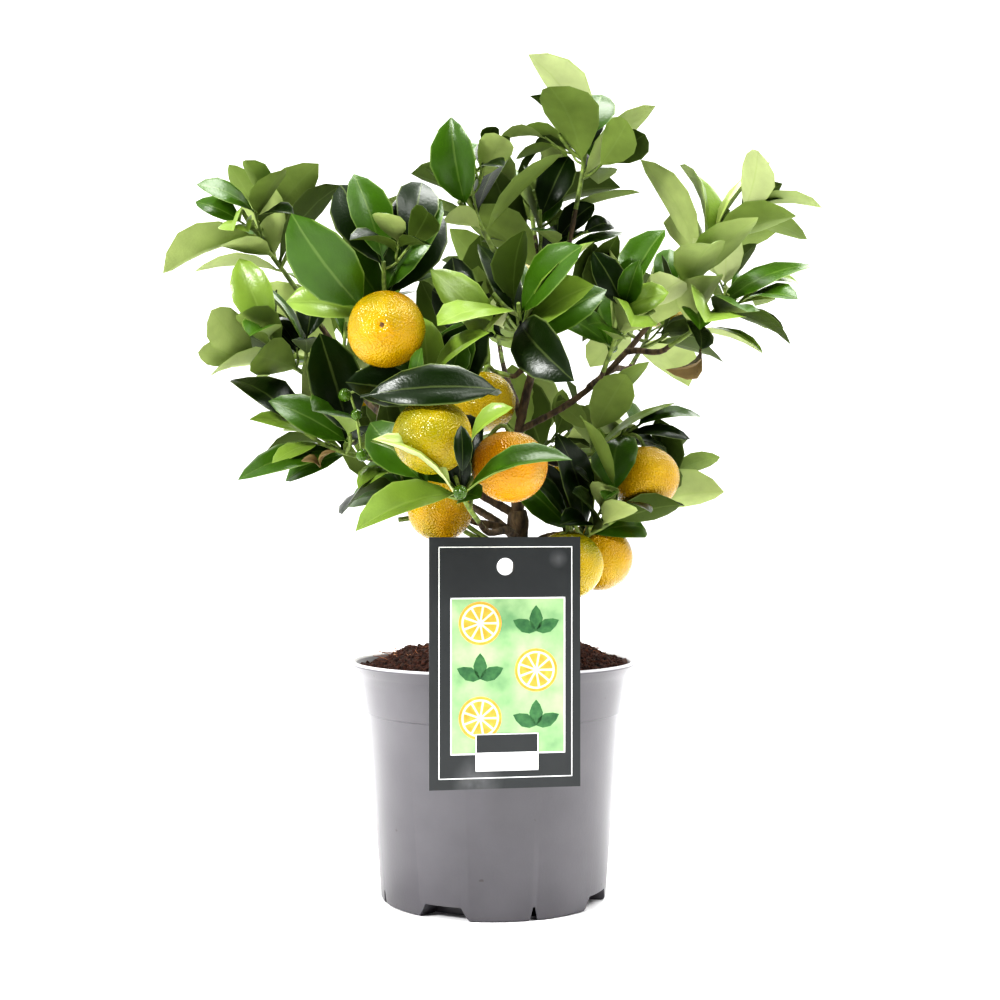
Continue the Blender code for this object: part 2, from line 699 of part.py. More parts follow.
def leaf_solid(leaf, grow=0.0, skip=0.0):
    """Verts and faces of a leaf: a blade on a keel, wide from its middle and ending in a point."""
    base, tip, normal, width = leaf
    length = (tip - base).length
    along = (tip - base) / length
    up = square_to(along, normal)
    side = along.cross(up)
    half = LEAF_THICK / 2 + grow

    def station(share, half_width):
        arch = 4 * LEAF_DROOP * length * share * (1 - share)
        middle = base + along * (length * share) + up * arch
        reach = side * (half_width + grow)
        return middle - reach + up * half, middle + reach + up * half, middle - up * half

    verts = [*station(skip, LEAF_ROOT + width * skip)]
    for share, half_width in LEAF_STATIONS:
        verts.extend(station(share, width * half_width))
    verts.append(tip + along * grow)
    faces = [(0, 1, 2)]
    for low in (0, 3):
        faces.extend([(low, low + 3, low + 4, low + 1), (low + 1, low + 4, low + 5, low + 2)])
        faces.append((low + 2, low + 5, low + 3, low))
    faces.extend([(6, 9, 7), (7, 9, 8), (8, 9, 6)])
    return verts, faces


def fruit_solid(centre, diameter, grow=0.0):
    """Verts and faces of a slightly flattened fruit."""
    radius = diameter / 2 + grow
    profile = []
    for k in range(FRUIT_RINGS + 1):
        angle = math.pi * (k / FRUIT_RINGS - 0.5)
        across = 0.0 if k in (0, FRUIT_RINGS) else radius * math.cos(angle)
        profile.append((across, radius * FRUIT_FLATTEN * math.sin(angle)))
    verts, faces = turned(profile, FRUIT_SEGMENTS)
    return [Vector(v) + centre for v in verts], faces


class Crowd:
    """Every solid placed so far, to keep new ones clear of them."""

    def __init__(self):
        self.items = []

    def add(self, owner, solid):
        verts, faces = solid
        middle = sum((Vector(v) for v in verts), Vector()) / len(verts)
        size = max((Vector(v) - middle).length for v in verts)
        self.items.append((owner, BVHTree.FromPolygons(verts, faces), middle, size))

    def touches(self, solid, near_only, ignore=()):
        """Whether the solid meets one of another owner (or, near_only, of the same owners)."""
        verts, faces = solid
        middle = sum((Vector(v) for v in verts), Vector()) / len(verts)
        size = max((Vector(v) - middle).length for v in verts)
        tree = BVHTree.FromPolygons(verts, faces)
        for owner, other, place, extent in self.items:
            if (owner in ignore) != near_only:
                continue
            if (place - middle).length < size + extent and tree.overlap(other):
                return True
        return False


def hides_fruit_or_label(leaf, windows):
    """Whether a leaf hangs before the label or a fruit that faces out of the crown."""
    base, tip = leaf[0], leaf[1]
    for share in SEEN_AT:
        point = base.lerp(tip, share)
        off_card = point - Vector(CARD_MIDDLE)
        if off_card.y < 0 and off_card.z < CARD_CLEAR and abs(off_card.x) < CARD_WIDTH / 2:
            return True
        for centre, radius, facing in windows:
            off = point - centre
            if off.dot(facing) > 0 and (off - facing * off.dot(facing)).length < radius:
                return True
    return False


class Mass:
    """One mass of foliage, from its stem to its leaves."""

    def __init__(self, name, centre, reach, bough, seed):
        self.name = name
        self.centre = centre
        self.reach = reach
        self.seed = seed
        self.random = random.Random(name)
        end, along, _ = bough.at(1.0)
        finish = centre + along * reach * STEM_OVERSHOOT
        rise = (along + STEM_RISE).normalized()
        points = bent(end + along * GAP, along, finish, rise, STEM_STEPS)
        self.stem = Limb(points, STEM_RADIUS, STEM_RADIUS * STEM_TAPER)
        self.twigs = [self.stem]
        self.leaves = []
        self.fruits = []

    def hang_fruit(self, centre, diameter):
        """A fruit on its own stalk, which leaves the stem and bends down into the fruit's top."""
        crown = centre + Vector((0, 0, diameter * FRUIT_FLATTEN / 2))
        share = min(STALK_FROM, key=lambda s: (self.stem.at(s)[0] - crown).length)
        place, along, _ = self.stem.at(share)
        outward = square_to(along, crown - place)
        arch = max(LEAST_ARCH, STALK_ARCH * (crown - place).length)
        launch = (outward + STALK_LAUNCH).normalized()
        points = bent(place, launch, crown, Vector((0, 0, -1)), STALK_STEPS)
        points[-1] = crown - Vector((0, 0, STALK_SINK))
        points[STALK_STEPS // 2] += Vector((0, 0, arch))
        self.twigs.append(Limb(points, STALK_RADIUS, STALK_RADIUS))
        self.fruits.append((centre, diameter))

    def inside(self, point):
        return (point - self.centre).length <= self.reach

    def fits(self, leaf, crowd, windows, named=False):
        """Whether a leaf stays in the mass's space and clear of all that grows already."""
        if not named and (not self.inside(leaf[1]) or hides_fruit_or_label(leaf, windows)):
            return False
        whole = leaf_solid(leaf, LEAF_CLEARANCE)
        if crowd.touches(whole, False, ignore=(self.name,)):
            return False
        outer = leaf_solid(leaf, LEAF_CLEARANCE, skip=0.2)
        return not crowd.touches(outer, True, ignore=(self.name,))

    def add_leaf(self, leaf, crowd):
        self.leaves.append(leaf)
        crowd.add(self.name, leaf_solid(leaf))

    def blade(self, base, tip, along, roll=0.0):
        """A leaf whose upper side faces the end of its shoot, the sky and the light outside."""
        heading = (tip - base).normalized()
        light = (base - CROWN_MIDDLE).normalized() * FACE_OUT
        facing = square_to(heading, along * FACE_ALONG + Vector((0, 0, FACE_UP)) + light)
        across = heading.cross(facing)
        roll += self.random.uniform(-ROLL_SPREAD, ROLL_SPREAD)
        facing = (facing + across * roll).normalized()
        fullness = self.random.uniform(1 - WIDTH_SPREAD, 1 + WIDTH_SPREAD)
        return base, tip, facing, (tip - base).length * LEAF_WIDTH * fullness

    def grow_named_leaves(self, tips, crowd, windows):
        """Leaves whose tips the outline needs, from whichever node and with the roll that fits."""
        step = (1.0 - NODES_FROM) / (STEM_NODES - 1)
        shares = [NODES_FROM + step * k for k in range(STEM_NODES)]
        for x, y, z, *rolls in tips:
            tip = Vector((x, y, z))
            shares.sort(key=lambda s: abs((self.stem.at(s)[0] - tip).length - NAMED_LENGTH))
            for share, roll in itertools.product(shares, rolls or NAMED_ROLLS):
                if self.try_named_leaf(tip, share, roll, crowd, windows):
                    break

    def try_named_leaf(self, tip, share, roll, crowd, windows):
        """One leaf to a given tip, on a side shoot of its own where the stem is too far."""
        base, along, _ = self.stem.at(share)
        shoot = None
        short = (tip - base).length - LONGEST_LEAF
        if short > 0:
            heading = (tip - base).normalized()
            finish = base + heading * (short + SHOOT_EXTRA)
            launch = (square_to(along, heading) + heading + along * SHOOT_ALONG).normalized()
            points = bent(base, launch, finish, heading, SHOOT_STEPS)
            shoot = Limb(points, SHOOT_RADIUS, SHOOT_RADIUS)
            base, along, _ = shoot.at(1.0)
            base = base - along * ROOT_SINK
        leaf = self.blade(base, tip, along, roll)
        if not self.fits(leaf, crowd, windows, named=True):
            return False
        if shoot:
            self.twigs.append(shoot)
            crowd.add(self.name, tube(shoot, TWIG_SIDES))
        self.add_leaf(leaf, crowd)
        return True

    def grow_leaves(self, crowd, windows):
        """Seeded side shoots, and leaves in a spiral along them and along the stem."""
        self.random = random.Random(f"{self.name} {self.seed}")
        rolled = self.random.uniform(0, 2 * math.pi)
        axes = [(self.stem, *STEM_PLACES)]
        for k in range(SIDE_SHOOTS):
            share = NODES_FROM + SHOOT_SPACING * k
            base, along, _ = self.stem.at(share)
            turn = rolled + k * GOLDEN_TURN
            side = square_to(along, Vector((math.cos(turn), math.sin(turn), SHOOT_SIDE_RISE)))
            heading = (side + along * SHOOT_ALONG + SHOOT_RISE).normalized()
            finish = base + heading * self.reach * self.random.uniform(*SHOOT_REACH)
            points = bent(base, side, finish, heading, SHOOT_STEPS)
            shoot = Limb(points, SHOOT_RADIUS, SHOOT_RADIUS)
            free = [shoot.at(share)[0] for share in (0.3, 0.6, 1.0)]
            start = Limb(free, SHOOT_RADIUS, SHOOT_RADIUS)
            solid = tube(start, TWIG_SIDES, grow=LEAF_CLEARANCE)
            if not self.inside(finish) or crowd.touches(solid, False, ignore=(self.name,)):
                continue
            if crowd.touches(solid, True, ignore=(self.name,)):
                continue
            self.twigs.append(shoot)
            crowd.add(self.name, tube(shoot, TWIG_SIDES))
            axes.append((shoot, *SHOOT_PLACES))
        places = []
        for limb, low, high, count in axes:
            for k in range(count):
                places.append((limb, low + (high - low) * k / (count - 1)))
        self.random.shuffle(places)
        for k, (limb, share) in enumerate(places):
            if len(self.leaves) >= LEAVES_A_MASS:
                break
            self.try_leaf(limb, share, rolled + k * GOLDEN_TURN, crowd, windows)

    def try_leaf(self, limb, share, turn, crowd, windows):
        """One leaf at a node, tried a few times with other turns, lengths and spreads."""
        base, along, _ = limb.at(share)
        if share > 0.99:
            base = base - along * ROOT_SINK
        side = square_to(along, LEAF_SIDE)
        across = along.cross(side)
        for k in range(LEAF_TRIES):
            angle = turn + k * TRY_TURN + self.random.uniform(-TURN_SPREAD, TURN_SPREAD)
            spread = math.radians(self.random.uniform(*LEAF_SPREAD) + SPREAD_AT_FOOT * (1 - share))
            ray = side * math.cos(angle) + across * math.sin(angle)
            heading = (along * math.cos(spread) + ray * math.sin(spread)).normalized()
            heading = (heading + LEAF_RISE).normalized()
            length = self.random.uniform(*LEAF_LENGTHS) * (1 - TRY_SHORTER * k)
            leaf = self.blade(base, base + heading * length, along)
            if self.fits(leaf, crowd, windows):
                self.add_leaf(leaf, crowd)
                return


def plan_crown(trunk, masses):
    """Every bough first, then stems and fruit, then the leaves that fit round them."""
    crowd = Crowd()
    crowd.add("trunk", tube(trunk, TRUNK_SIDES))
    limbs = {"trunk": trunk}
    boughs, grown, windows = [], [], []
    for name, centre, reach, parent, share, seed in masses:
        bough, saddle = plan_bough(Vector(centre), reach, limbs[parent], share, share >= 1.0)
        if parent == "trunk" and share < 1.0:
            bough.radii = Limb(bough.points, BOUGH_RADIUS, BOUGH_TIP_RADIUS).radii
        limbs[name] = bough
        solid = tube(bough, BOUGH_SIDES, saddle)
        boughs.append((name, solid))
        crowd.add(f"bough {name}", solid)
        grown.append(Mass(name, Vector(centre), reach, bough, seed))
    for mass in grown:
        for centre, diameter in FRUITS.get(mass.name, ()):
            mass.hang_fruit(Vector(centre), diameter)
            facing = Vector((0, 1 if centre[1] > BACK_FROM else -1, 0))
            windows.append((Vector(centre), diameter / 2 * FRUIT_WINDOW, facing))
            crowd.add(mass.name, fruit_solid(Vector(centre), diameter))
        for twig in mass.twigs:
            crowd.add(mass.name, tube(twig, TWIG_SIDES))
    for mass in grown:
        mass.grow_named_leaves(LEAF_TIPS.get(mass.name, ()), crowd, windows)
    for mass in grown:
        mass.grow_leaves(crowd, windows)
    return boughs, grown


def make_mass(mass):
    """Join a mass's stem, shoots, leaves and fruit into one solid."""
    verts, faces = tube(mass.stem, TWIG_SIDES)
    stem = add_object(f"foliage_{mass.name}", verts, faces, "foliage")
    others = []
    for k, twig in enumerate(mass.twigs[1:]):
        others.append(add_object(f"twig_{k}", *tube(twig, TWIG_SIDES), "foliage"))
    for k, leaf in enumerate(mass.leaves):
        others.append(add_object(f"leaf_{k}", *leaf_solid(leaf), "foliage"))
    for k, (centre, diameter) in enumerate(mass.fruits):
        others.append(add_object(f"fruit_{k}", *fruit_solid(centre, diameter), "foliage"))
    join_by_boolean(stem, others, "UNION")
    keep_main_body(stem, FLAT_ANGLE)
    shade_round(stem)
    return stem


def main():
    clear_scene()
    make_pot()
    make_peat()
    make_label()
    trunk = make_trunk()
    boughs, grown = plan_crown(trunk, MASSES)
    for name, (verts, faces) in boughs:
        shade_round(add_object(f"bough_{name}", verts, faces, "bough"))
    for mass in grown:
        make_mass(mass)


if __name__ == "__main__":
    main()
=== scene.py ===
# %% [markdown]
# # A calamondin orange tree in its nursery pot
#
# A calamondin is a small sour orange that is grown in pots for its fruit. This lesson dresses the
# imported solids of such a plant: a grey plastic pot with peat, a label hooked on the rim, a short
# trunk, and a crown of glossy leaves with thirteen fruit.
#
# The first step loads the imported solids. They are the frame that every piece is built on.

# %% Load the frame
import itertools
import json
import math
import random
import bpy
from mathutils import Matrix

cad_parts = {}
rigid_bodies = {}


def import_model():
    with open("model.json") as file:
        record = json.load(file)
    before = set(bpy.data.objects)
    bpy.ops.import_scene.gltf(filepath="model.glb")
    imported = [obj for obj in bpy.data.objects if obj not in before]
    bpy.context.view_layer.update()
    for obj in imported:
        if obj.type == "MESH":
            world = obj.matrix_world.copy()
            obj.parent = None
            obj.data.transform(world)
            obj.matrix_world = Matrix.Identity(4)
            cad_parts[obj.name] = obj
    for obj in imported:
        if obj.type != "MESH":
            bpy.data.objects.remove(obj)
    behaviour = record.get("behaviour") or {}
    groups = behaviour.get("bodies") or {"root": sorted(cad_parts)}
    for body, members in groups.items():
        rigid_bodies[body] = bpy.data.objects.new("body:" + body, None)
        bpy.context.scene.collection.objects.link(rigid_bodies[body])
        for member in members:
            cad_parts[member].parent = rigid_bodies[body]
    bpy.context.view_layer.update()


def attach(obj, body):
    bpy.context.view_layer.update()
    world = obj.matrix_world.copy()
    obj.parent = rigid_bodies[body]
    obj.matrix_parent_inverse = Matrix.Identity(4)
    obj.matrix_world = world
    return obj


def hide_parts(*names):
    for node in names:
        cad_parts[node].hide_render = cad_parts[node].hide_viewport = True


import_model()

from types import SimpleNamespace

import bmesh
import bpy
from mathutils import Matrix, Vector, noise
from mathutils.bvhtree import BVHTree

# %% [markdown]
# ## Camera, floor and light
#
# The plant was seen from straight in front, a little above the pot's rim, with a long lens, so the
# camera looks level along +Y. The floor and the air are both near white, as in a studio. A soft lamp
# above and to the right and a smaller, brighter one on the left light the front. One overhead lights
# the leaves that face the sky, and a wide one behind draws their edges. A dark cloth hangs behind the
# camera, out of its sight: what faces the camera mirrors it, so the front of the pot and of the fruit
# is darker than their edges.

# %% Camera
scene = bpy.context.scene


def into_scene(name, data):
    """An object of that mesh, lamp or camera, put into the scene."""
    made = bpy.data.objects.new(name, data)
    scene.collection.objects.link(made)
    return made


camera = into_scene("camera", bpy.data.cameras.new("camera"))
camera.data.sensor_width = 36.0
camera.data.lens = 58.8
camera.location = (0.0035, -0.869, 0.2065)
camera.rotation_euler = (math.radians(90.21), 0.0, 0.0)
scene.camera = camera
print("camera", tuple(round(v, 3) for v in camera.location))


# %% Colours and a helper for pieces
def paint(red, green, blue):
    """A colour as it is seen on a screen, from 0 to 255, in the linear numbers that shaders use."""
    return tuple(
        c / 255 / 12.92 if c < 11 else ((c / 255 + 0.055) / 1.055) ** 2.4 for c in (red, green, blue)
    )


def add_piece(name, verts, faces, material=None, smooth_angle=None):
    """An object of the given mesh in the scene, its faces turned outward."""
    mesh = bpy.data.meshes.new(name)
    mesh.from_pydata([tuple(v) for v in verts], [], faces)
    shell = bmesh.new()
    shell.from_mesh(mesh)
    bmesh.ops.recalc_face_normals(shell, faces=shell.faces)
    shell.to_mesh(mesh)
    shell.free()
    if material:
        mesh.materials.append(material)
    if smooth_angle is not None:
        mesh.shade_smooth()
        mesh.set_sharp_from_angle(angle=math.radians(smooth_angle))
    return into_scene(name, mesh)


# %% Floor and cloth
def add_sheet(name, corners, shade, rough):
    """A flat sheet of one grey shade that stands round the plant."""
    finish = bpy.data.materials.new(name)
    finish.use_nodes = True
    shader = finish.node_tree.nodes["Principled BSDF"]
    shader.inputs["Base Color"].default_value = (shade, shade, shade, 1.0)
    shader.inputs["Roughness"].default_value = rough
    return add_piece(name, corners, [(0, 1, 2, 3)], finish)


FLOOR_REACH = 6.0
CLOTH_BACK, CLOTH_HALF, CLOTH_FOOT, CLOTH_TOP = -1.5, 1.9, 0.15, 2.4
around = [(-1, -1), (1, -1), (1, 1), (-1, 1)]
floor = add_sheet("floor", [(x * FLOOR_REACH, y * FLOOR_REACH, 0.0) for x, y in around], 0.97, 0.9)
hung_from = [(x * CLOTH_HALF, CLOTH_BACK, CLOTH_TOP if up > 0 else CLOTH_FOOT) for x, up in around]
cloth = add_sheet("dark cloth", hung_from, 0.02, 0.5)
cloth.visible_camera = False
print("floor", floor.dimensions[:2])


# %% Air and lamps
def add_lamp(name, place, size, watts):
    """A soft square lamp that shines on the middle of the plant."""
    lamp = bpy.data.lights.new(name, "AREA")
    lamp.shape = "SQUARE"
    lamp.size = size
    lamp.energy = watts
    made = into_scene(name, lamp)
    made.location = place
    toward = Vector((0.0, 0.0, 0.22)) - Vector(place)
    made.rotation_euler = toward.to_track_quat("-Z", "Y").to_euler()


scene.view_settings.view_transform = "Standard"
scene.view_settings.look = "High Contrast"
scene.world = bpy.data.worlds.new("studio air")
scene.world.use_nodes = True
air = scene.world.node_tree.nodes["Background"]
air.inputs["Color"].default_value = (1.0, 1.0, 1.0, 1.0)
air.inputs["Strength"].default_value = 1.2
add_lamp("lamp over right", (0.7, -0.7, 1.2), 0.5, 8)
add_lamp("lamp left", (-0.9, -0.8, 0.9), 0.2, 17)
add_lamp("lamp overhead", (0.1, 0.0, 1.5), 0.6, 18)
add_lamp("lamp behind", (0.3, 1.0, 1.2), 1.0, 10)

# %% [markdown]
# ## Helpers for nodes
#
# Finishes and repeated shapes are both made by trees of nodes. A few helpers keep the trees short: one
# adds a node and feeds its sockets, by their order or by their names, and the rest stand for the
# nodes that come up again and again.

# %% Nodes and their sockets
VECTORS = "ShaderNodeVectorMath"


def connect(tree, source, socket):
    """Feed a socket from another one, or set it to a value."""
    if isinstance(source, bpy.types.NodeSocket):
        tree.links.new(source, socket)
    elif source is not None:
        socket.default_value = source


def add_node(tree, kind, settings=(), *sources, **named):
    """A node of that kind. Its sockets are fed by sources in their order and by named by name."""
    node = tree.nodes.new(kind)
    for key, value in dict(settings).items():
        setattr(node, key, value)
    for k, source in enumerate(sources):
        connect(tree, source, node.inputs[k])
    for label, source in named.items():
        connect(tree, source, node.inputs[label.replace("_", " ")])
    return node


def reckon(tree, operation, *sources, kind="ShaderNodeMath"):
    """The result of an operation on numbers, or on whatever that kind of node takes."""
    node = add_node(tree, kind, {"operation": operation}, *sources)
    return node.outputs["Value" if operation in ("LENGTH", "DISTANCE") else 0]


def ranged(tree, value, low, high, at_low=0.0, at_high=1.0):
    """A value between low and high brought to another range."""
    node = add_node(
        tree, "ShaderNodeMapRange", Value=value, From_Min=low, From_Max=high, To_Min=at_low, To_Max=at_high
    )
    return node.outputs["Result"]


def clouds(tree, place, grain, detail=2.0):
    """Noise of that grain (1/m) at a place."""
    return add_node(tree, "ShaderNodeTexNoise", Vector=place, Scale=grain, Detail=detail).outputs["Fac"]


def from_axis(tree, place):
    """How far a place is from the upright axis of the pot."""
    flat = reckon(tree, "MULTIPLY", place, (1.0, 1.0, 0.0), kind=VECTORS)
    return reckon(tree, "LENGTH", flat, kind=VECTORS)


# %% [markdown]
# ## Helpers for finishes
#
# No real surface has one flat colour. Plastic has faint clouds and scuffs, bark has cracks, and peel
# has pores. One helper makes such a finish: two colours mixed by noise, a roughness that follows the
# same noise, and a finer noise that pushes the surface in and out. The noise is read in the place of
# the object, in metres, so it keeps its real scale. Two more turn a finish to another colour by a
# share, and press a height into it.


# %% A mottled finish
def object_place(tree):
    """The place in the object, in metres."""
    return add_node(tree, "ShaderNodeTexCoord").outputs["Object"]


def shader_of(finish):
    """The main shader of a finish."""
    return finish.node_tree.nodes["Principled BSDF"]


def tinted(tree, share, low, high):
    """The colour between low and high at that share."""
    mix = add_node(tree, "ShaderNodeMix", {"data_type": "RGBA"}, Factor=share, A=low, B=high)
    return mix.outputs["Result"]


def retint(finish, share, colour):
    """Turn a finish to another colour by a share. Gives the socket of its new colour."""
    base = shader_of(finish).inputs["Base Color"]
    after = tinted(finish.node_tree, share, base.links[0].from_socket, (*colour, 1.0))
    connect(finish.node_tree, after, base)
    return after


def press(finish, height, depth, strength=1.0):
    """Push the surface in and out by a height, depth metres at most."""
    tree = finish.node_tree
    bump = add_node(tree, "ShaderNodeBump", Height=height, Distance=depth, Strength=strength)
    connect(tree, bump.outputs["Normal"], shader_of(finish).inputs["Normal"])


def mottled(name, low, high, rough, grain, relief=(0, 0), contrast=2.0, stretch=(1, 1, 1)):
    """A finish: colours low and high in patches of a grain (1/m), relief is (grain, depth in m)."""
    made = bpy.data.materials.new(name)
    made.use_nodes = True
    tree, shader = made.node_tree, shader_of(made)
    place = add_node(tree, "ShaderNodeMapping", Vector=object_place(tree), Scale=stretch).outputs[0]
    cloud = clouds(tree, place, grain, 4.0)
    share = ranged(tree, cloud, 0.5 - 0.5 / contrast, 0.5 + 0.5 / contrast)
    connect(tree, tinted(tree, share, (*low, 1.0), (*high, 1.0)), shader.inputs["Base Color"])
    gloss = ranged(tree, cloud, 0.0, 1.0, rough * 0.88, min(1.0, rough * 1.12))
    connect(tree, gloss, shader.inputs["Roughness"])
    if relief[0]:
        press(made, clouds(tree, place, relief[0], 3.0), relief[1])
    return made


# %% [markdown]
# ## Helpers for Geometry Nodes
#
# Whatever repeats on the plant is made by a tree of nodes: leaves, fruit, crumbs of peat, and the
# bark that follows each limb. A tree is built once, with named inputs, and then run on a carrier
# object. The carrier's result is turned into a plain mesh, because instances aren't exported.


# %% Build and run a tree of nodes
def new_tree(name, inputs):
    """A Geometry Nodes tree, the sockets of its inputs, given as name: (kind, value), and its end."""
    tree = bpy.data.node_groups.new(name, "GeometryNodeTree")
    tree.interface.new_socket("Geometry", in_out="INPUT", socket_type="NodeSocketGeometry")
    for label, (kind, value) in inputs.items():
        socket = tree.interface.new_socket(label, in_out="INPUT", socket_type=f"NodeSocket{kind}")
        if value is not None:
            socket.default_value = value
    tree.interface.new_socket("Geometry", in_out="OUTPUT", socket_type="NodeSocketGeometry")
    return tree, tree.nodes.new("NodeGroupInput").outputs, tree.nodes.new("NodeGroupOutput").inputs[0]


def read(tree, name, kind):
    """The socket of a named attribute of that kind."""
    return add_node(tree, "GeometryNodeInputNamedAttribute", {"data_type": kind}, Name=name).outputs[0]


def on_points(tree, put, points, **how):
    """One of the Shapes on each point, made real. how gives turn, size and which shape."""
    shapes = add_node(
        tree, "GeometryNodeCollectionInfo", Collection=put["Shapes"], Separate_Children=True,
        Reset_Children=True,
    )
    placed = add_node(
        tree, "GeometryNodeInstanceOnPoints", Points=points, Instance=shapes.outputs[0],
        Pick_Instance=True, **how,
    )
    return realized(tree, placed.outputs[0])


def realized(tree, geometry):
    """The geometry with its instances made real."""
    return add_node(tree, "GeometryNodeRealizeInstances", Geometry=geometry).outputs[0]


def finished(tree, geometry, finish, where=None):
    """The geometry with a finish, on all its faces or where a socket says."""
    step = add_node(tree, "GeometryNodeSetMaterial", Geometry=geometry, Material=finish, Selection=where)
    return step.outputs[0]


def run_tree(carrier, tree, name, **values):
    """Run the tree on the carrier, and leave its result as a plain mesh object of that name."""
    step = carrier.modifiers.new(tree.name, "NODES")
    step.node_group = tree
    for item in tree.interface.items_tree:
        key = item.name.lower().replace(" ", "_")
        if item.in_out == "INPUT" and key in values:
            step[item.identifier] = values[key]
    graph = bpy.context.evaluated_depsgraph_get()
    mesh = bpy.data.meshes.new_from_object(carrier.evaluated_get(graph))
    bpy.data.objects.remove(carrier, do_unlink=True)
    mesh.name = name
    print(name, len(mesh.polygons), "faces")
    return into_scene(name, mesh)


# %% [markdown]
# ## The pot
#
# It is a thin pot of grey satin plastic, injection moulded, 15 cm across its flared rim. Under the
# rim runs a slightly wider band that lets a stack of pots come apart, and round the foot are four
# drainage recesses with a narrow slit between each two. Turning a profile gives the wall, and a
# Boolean cuts the recesses, as the mould does. The floor rises over each recess, so the peat stays in.

# %% Sizes of the pot
POT_HEIGHT = 0.125
RIM_RADIUS = 0.075
BAND_TOP, BAND_TOP_RADIUS = 0.1134, 0.0700
BAND_FOOT, BAND_FOOT_RADIUS = 0.0985, 0.0679
WALL_TOP_RADIUS = 0.0668
FOOT_RADIUS = 0.0595
WALL, FLOOR = 0.0013, 0.0016
RECESSES, RECESS_TURN, SLIT_TURN = 4, -25.0, 20.0
RECESS_HEIGHT, RECESS_DEPTH = 0.007, 0.013
RECESS_HALF_ANGLES = (14.4, 9.6)
SLIT_HALF_ANGLES, SLIT_DEPTH = (2.4, 0.5), 0.0035
CUT_BEYOND, CUT_UNDER, BLOCK_INSET = 0.005, -0.001, 0.0006
GAP = 0.0003


# %% Turned solids and arc-shaped blocks
def bridged(sides, rings):
    """Faces between each ring of that many points and the next."""
    faces = []
    for k in range(sides * (rings - 1)):
        foot, after = k - k % sides, (k + 1) % sides
        faces.append((k, foot + after, foot + sides + after, k + sides))
    return faces


def turned(profile, segments, lift=None):
    """Verts and faces of a solid turned about Z from (radius, height) points, axis to axis."""
    verts, rings, faces = [], [], []
    for radius, height in profile:
        count = 1 if radius == 0.0 else segments
        rings.append(list(range(len(verts), len(verts) + count)))
        for k in range(count):
            angle = 2 * math.pi * k / segments
            x, y = radius * math.cos(angle), radius * math.sin(angle)
            verts.append((x, y, height + (lift(x, y, height) if lift else 0.0)))
    for low, high in zip(rings, rings[1:]):
        for k in range(segments):
            after = (k + 1) % segments
            foot = (low[0],) if len(low) == 1 else (low[k], low[after])
            faces.append((*foot, high[0]) if len(high) == 1 else (*foot, high[after], high[k]))
    return verts, faces


def sector(inner, outer, foot, top, half_foot, half_top, turn, steps=10):
    """Verts and faces of an arc-shaped block whose width in degrees changes with height."""
    verts, faces = [], []
    for k in range(steps + 1):
        share = 2.0 * k / steps - 1.0
        for height, half in ((foot, half_foot), (top, half_top)):
            angle = math.radians(turn + share * half)
            for radius in (inner, outer):
                verts.append((radius * math.sin(angle), -radius * math.cos(angle), height))
    for k in range(steps):
        a, b = 4 * k, 4 * k + 4
        for near, far in ((0, 1), (1, 3), (3, 2), (2, 0)):
            faces.append((a + near, b + near, b + far, a + far))
    last = 4 * steps
    return verts, faces + [(0, 1, 3, 2), (last, last + 2, last + 3, last + 1)]


def boolean(target, others, operation):
    """Join others to the target or cut them from it, and remove them."""
    collection = bpy.data.collections.new("operands")
    scene.collection.children.link(collection)
    for other in others:
        scene.collection.objects.unlink(other)
        collection.objects.link(other)
    step = target.modifiers.new("shape", "BOOLEAN")
    step.operation = operation
    step.operand_type = "COLLECTION"
    step.collection = collection
    step.solver = "EXACT"
    graph = bpy.context.evaluated_depsgraph_get()
    result = bpy.data.meshes.new_from_object(target.evaluated_get(graph))
    target.modifiers.clear()
    target.data = result
    for other in others:
        bpy.data.objects.remove(other, do_unlink=True)
    bpy.data.collections.remove(collection)


# %% [markdown]
# The plastic is a mid grey with a soft sheen. Close up it shows faint cloudy flow marks and a few
# small dark scuffs, which come from a finer noise that is cut off high, so that few marks stay.
# The lip has a painted highlight on its outer edge: the colour turns pale with height and distance from
# the pot's middle, and the inside of the wall stays grey.

# %% Grey plastic
# Painted highlight on the lip: the heights and distances from the axis where it fades in, and how pale it
# gets.
LIP_HIGHLIGHT_HEIGHTS, LIP_HIGHLIGHT_RADII, LIP_HIGHLIGHT_SHARE = (0.1236, 0.1243), (0.0722, 0.0728), 0.85
SCUFF_GRAIN, SCUFF_CUT = 170, (0.76, 0.80)
pot_finish = mottled(
    "grey plastic", paint(80, 78, 82), paint(92, 90, 94), 0.32, 28, relief=(900, 0.00004)
)
tree = pot_finish.node_tree
place = object_place(tree)
retint(pot_finish, ranged(tree, clouds(tree, place, SCUFF_GRAIN, 1.0), *SCUFF_CUT), paint(70, 66, 66))
height = add_node(tree, "ShaderNodeSeparateXYZ", (), place).outputs["Z"]
# Painted highlight: the outer top edge of the lip is mixed toward a pale grey.
highlight_by_height = ranged(tree, height, *LIP_HIGHLIGHT_HEIGHTS, 0.0, LIP_HIGHLIGHT_SHARE)
outer = ranged(tree, from_axis(tree, place), *LIP_HIGHLIGHT_RADII)
retint(pot_finish, reckon(tree, "MULTIPLY", highlight_by_height, outer), paint(214, 213, 216))
print("finish", pot_finish.name)

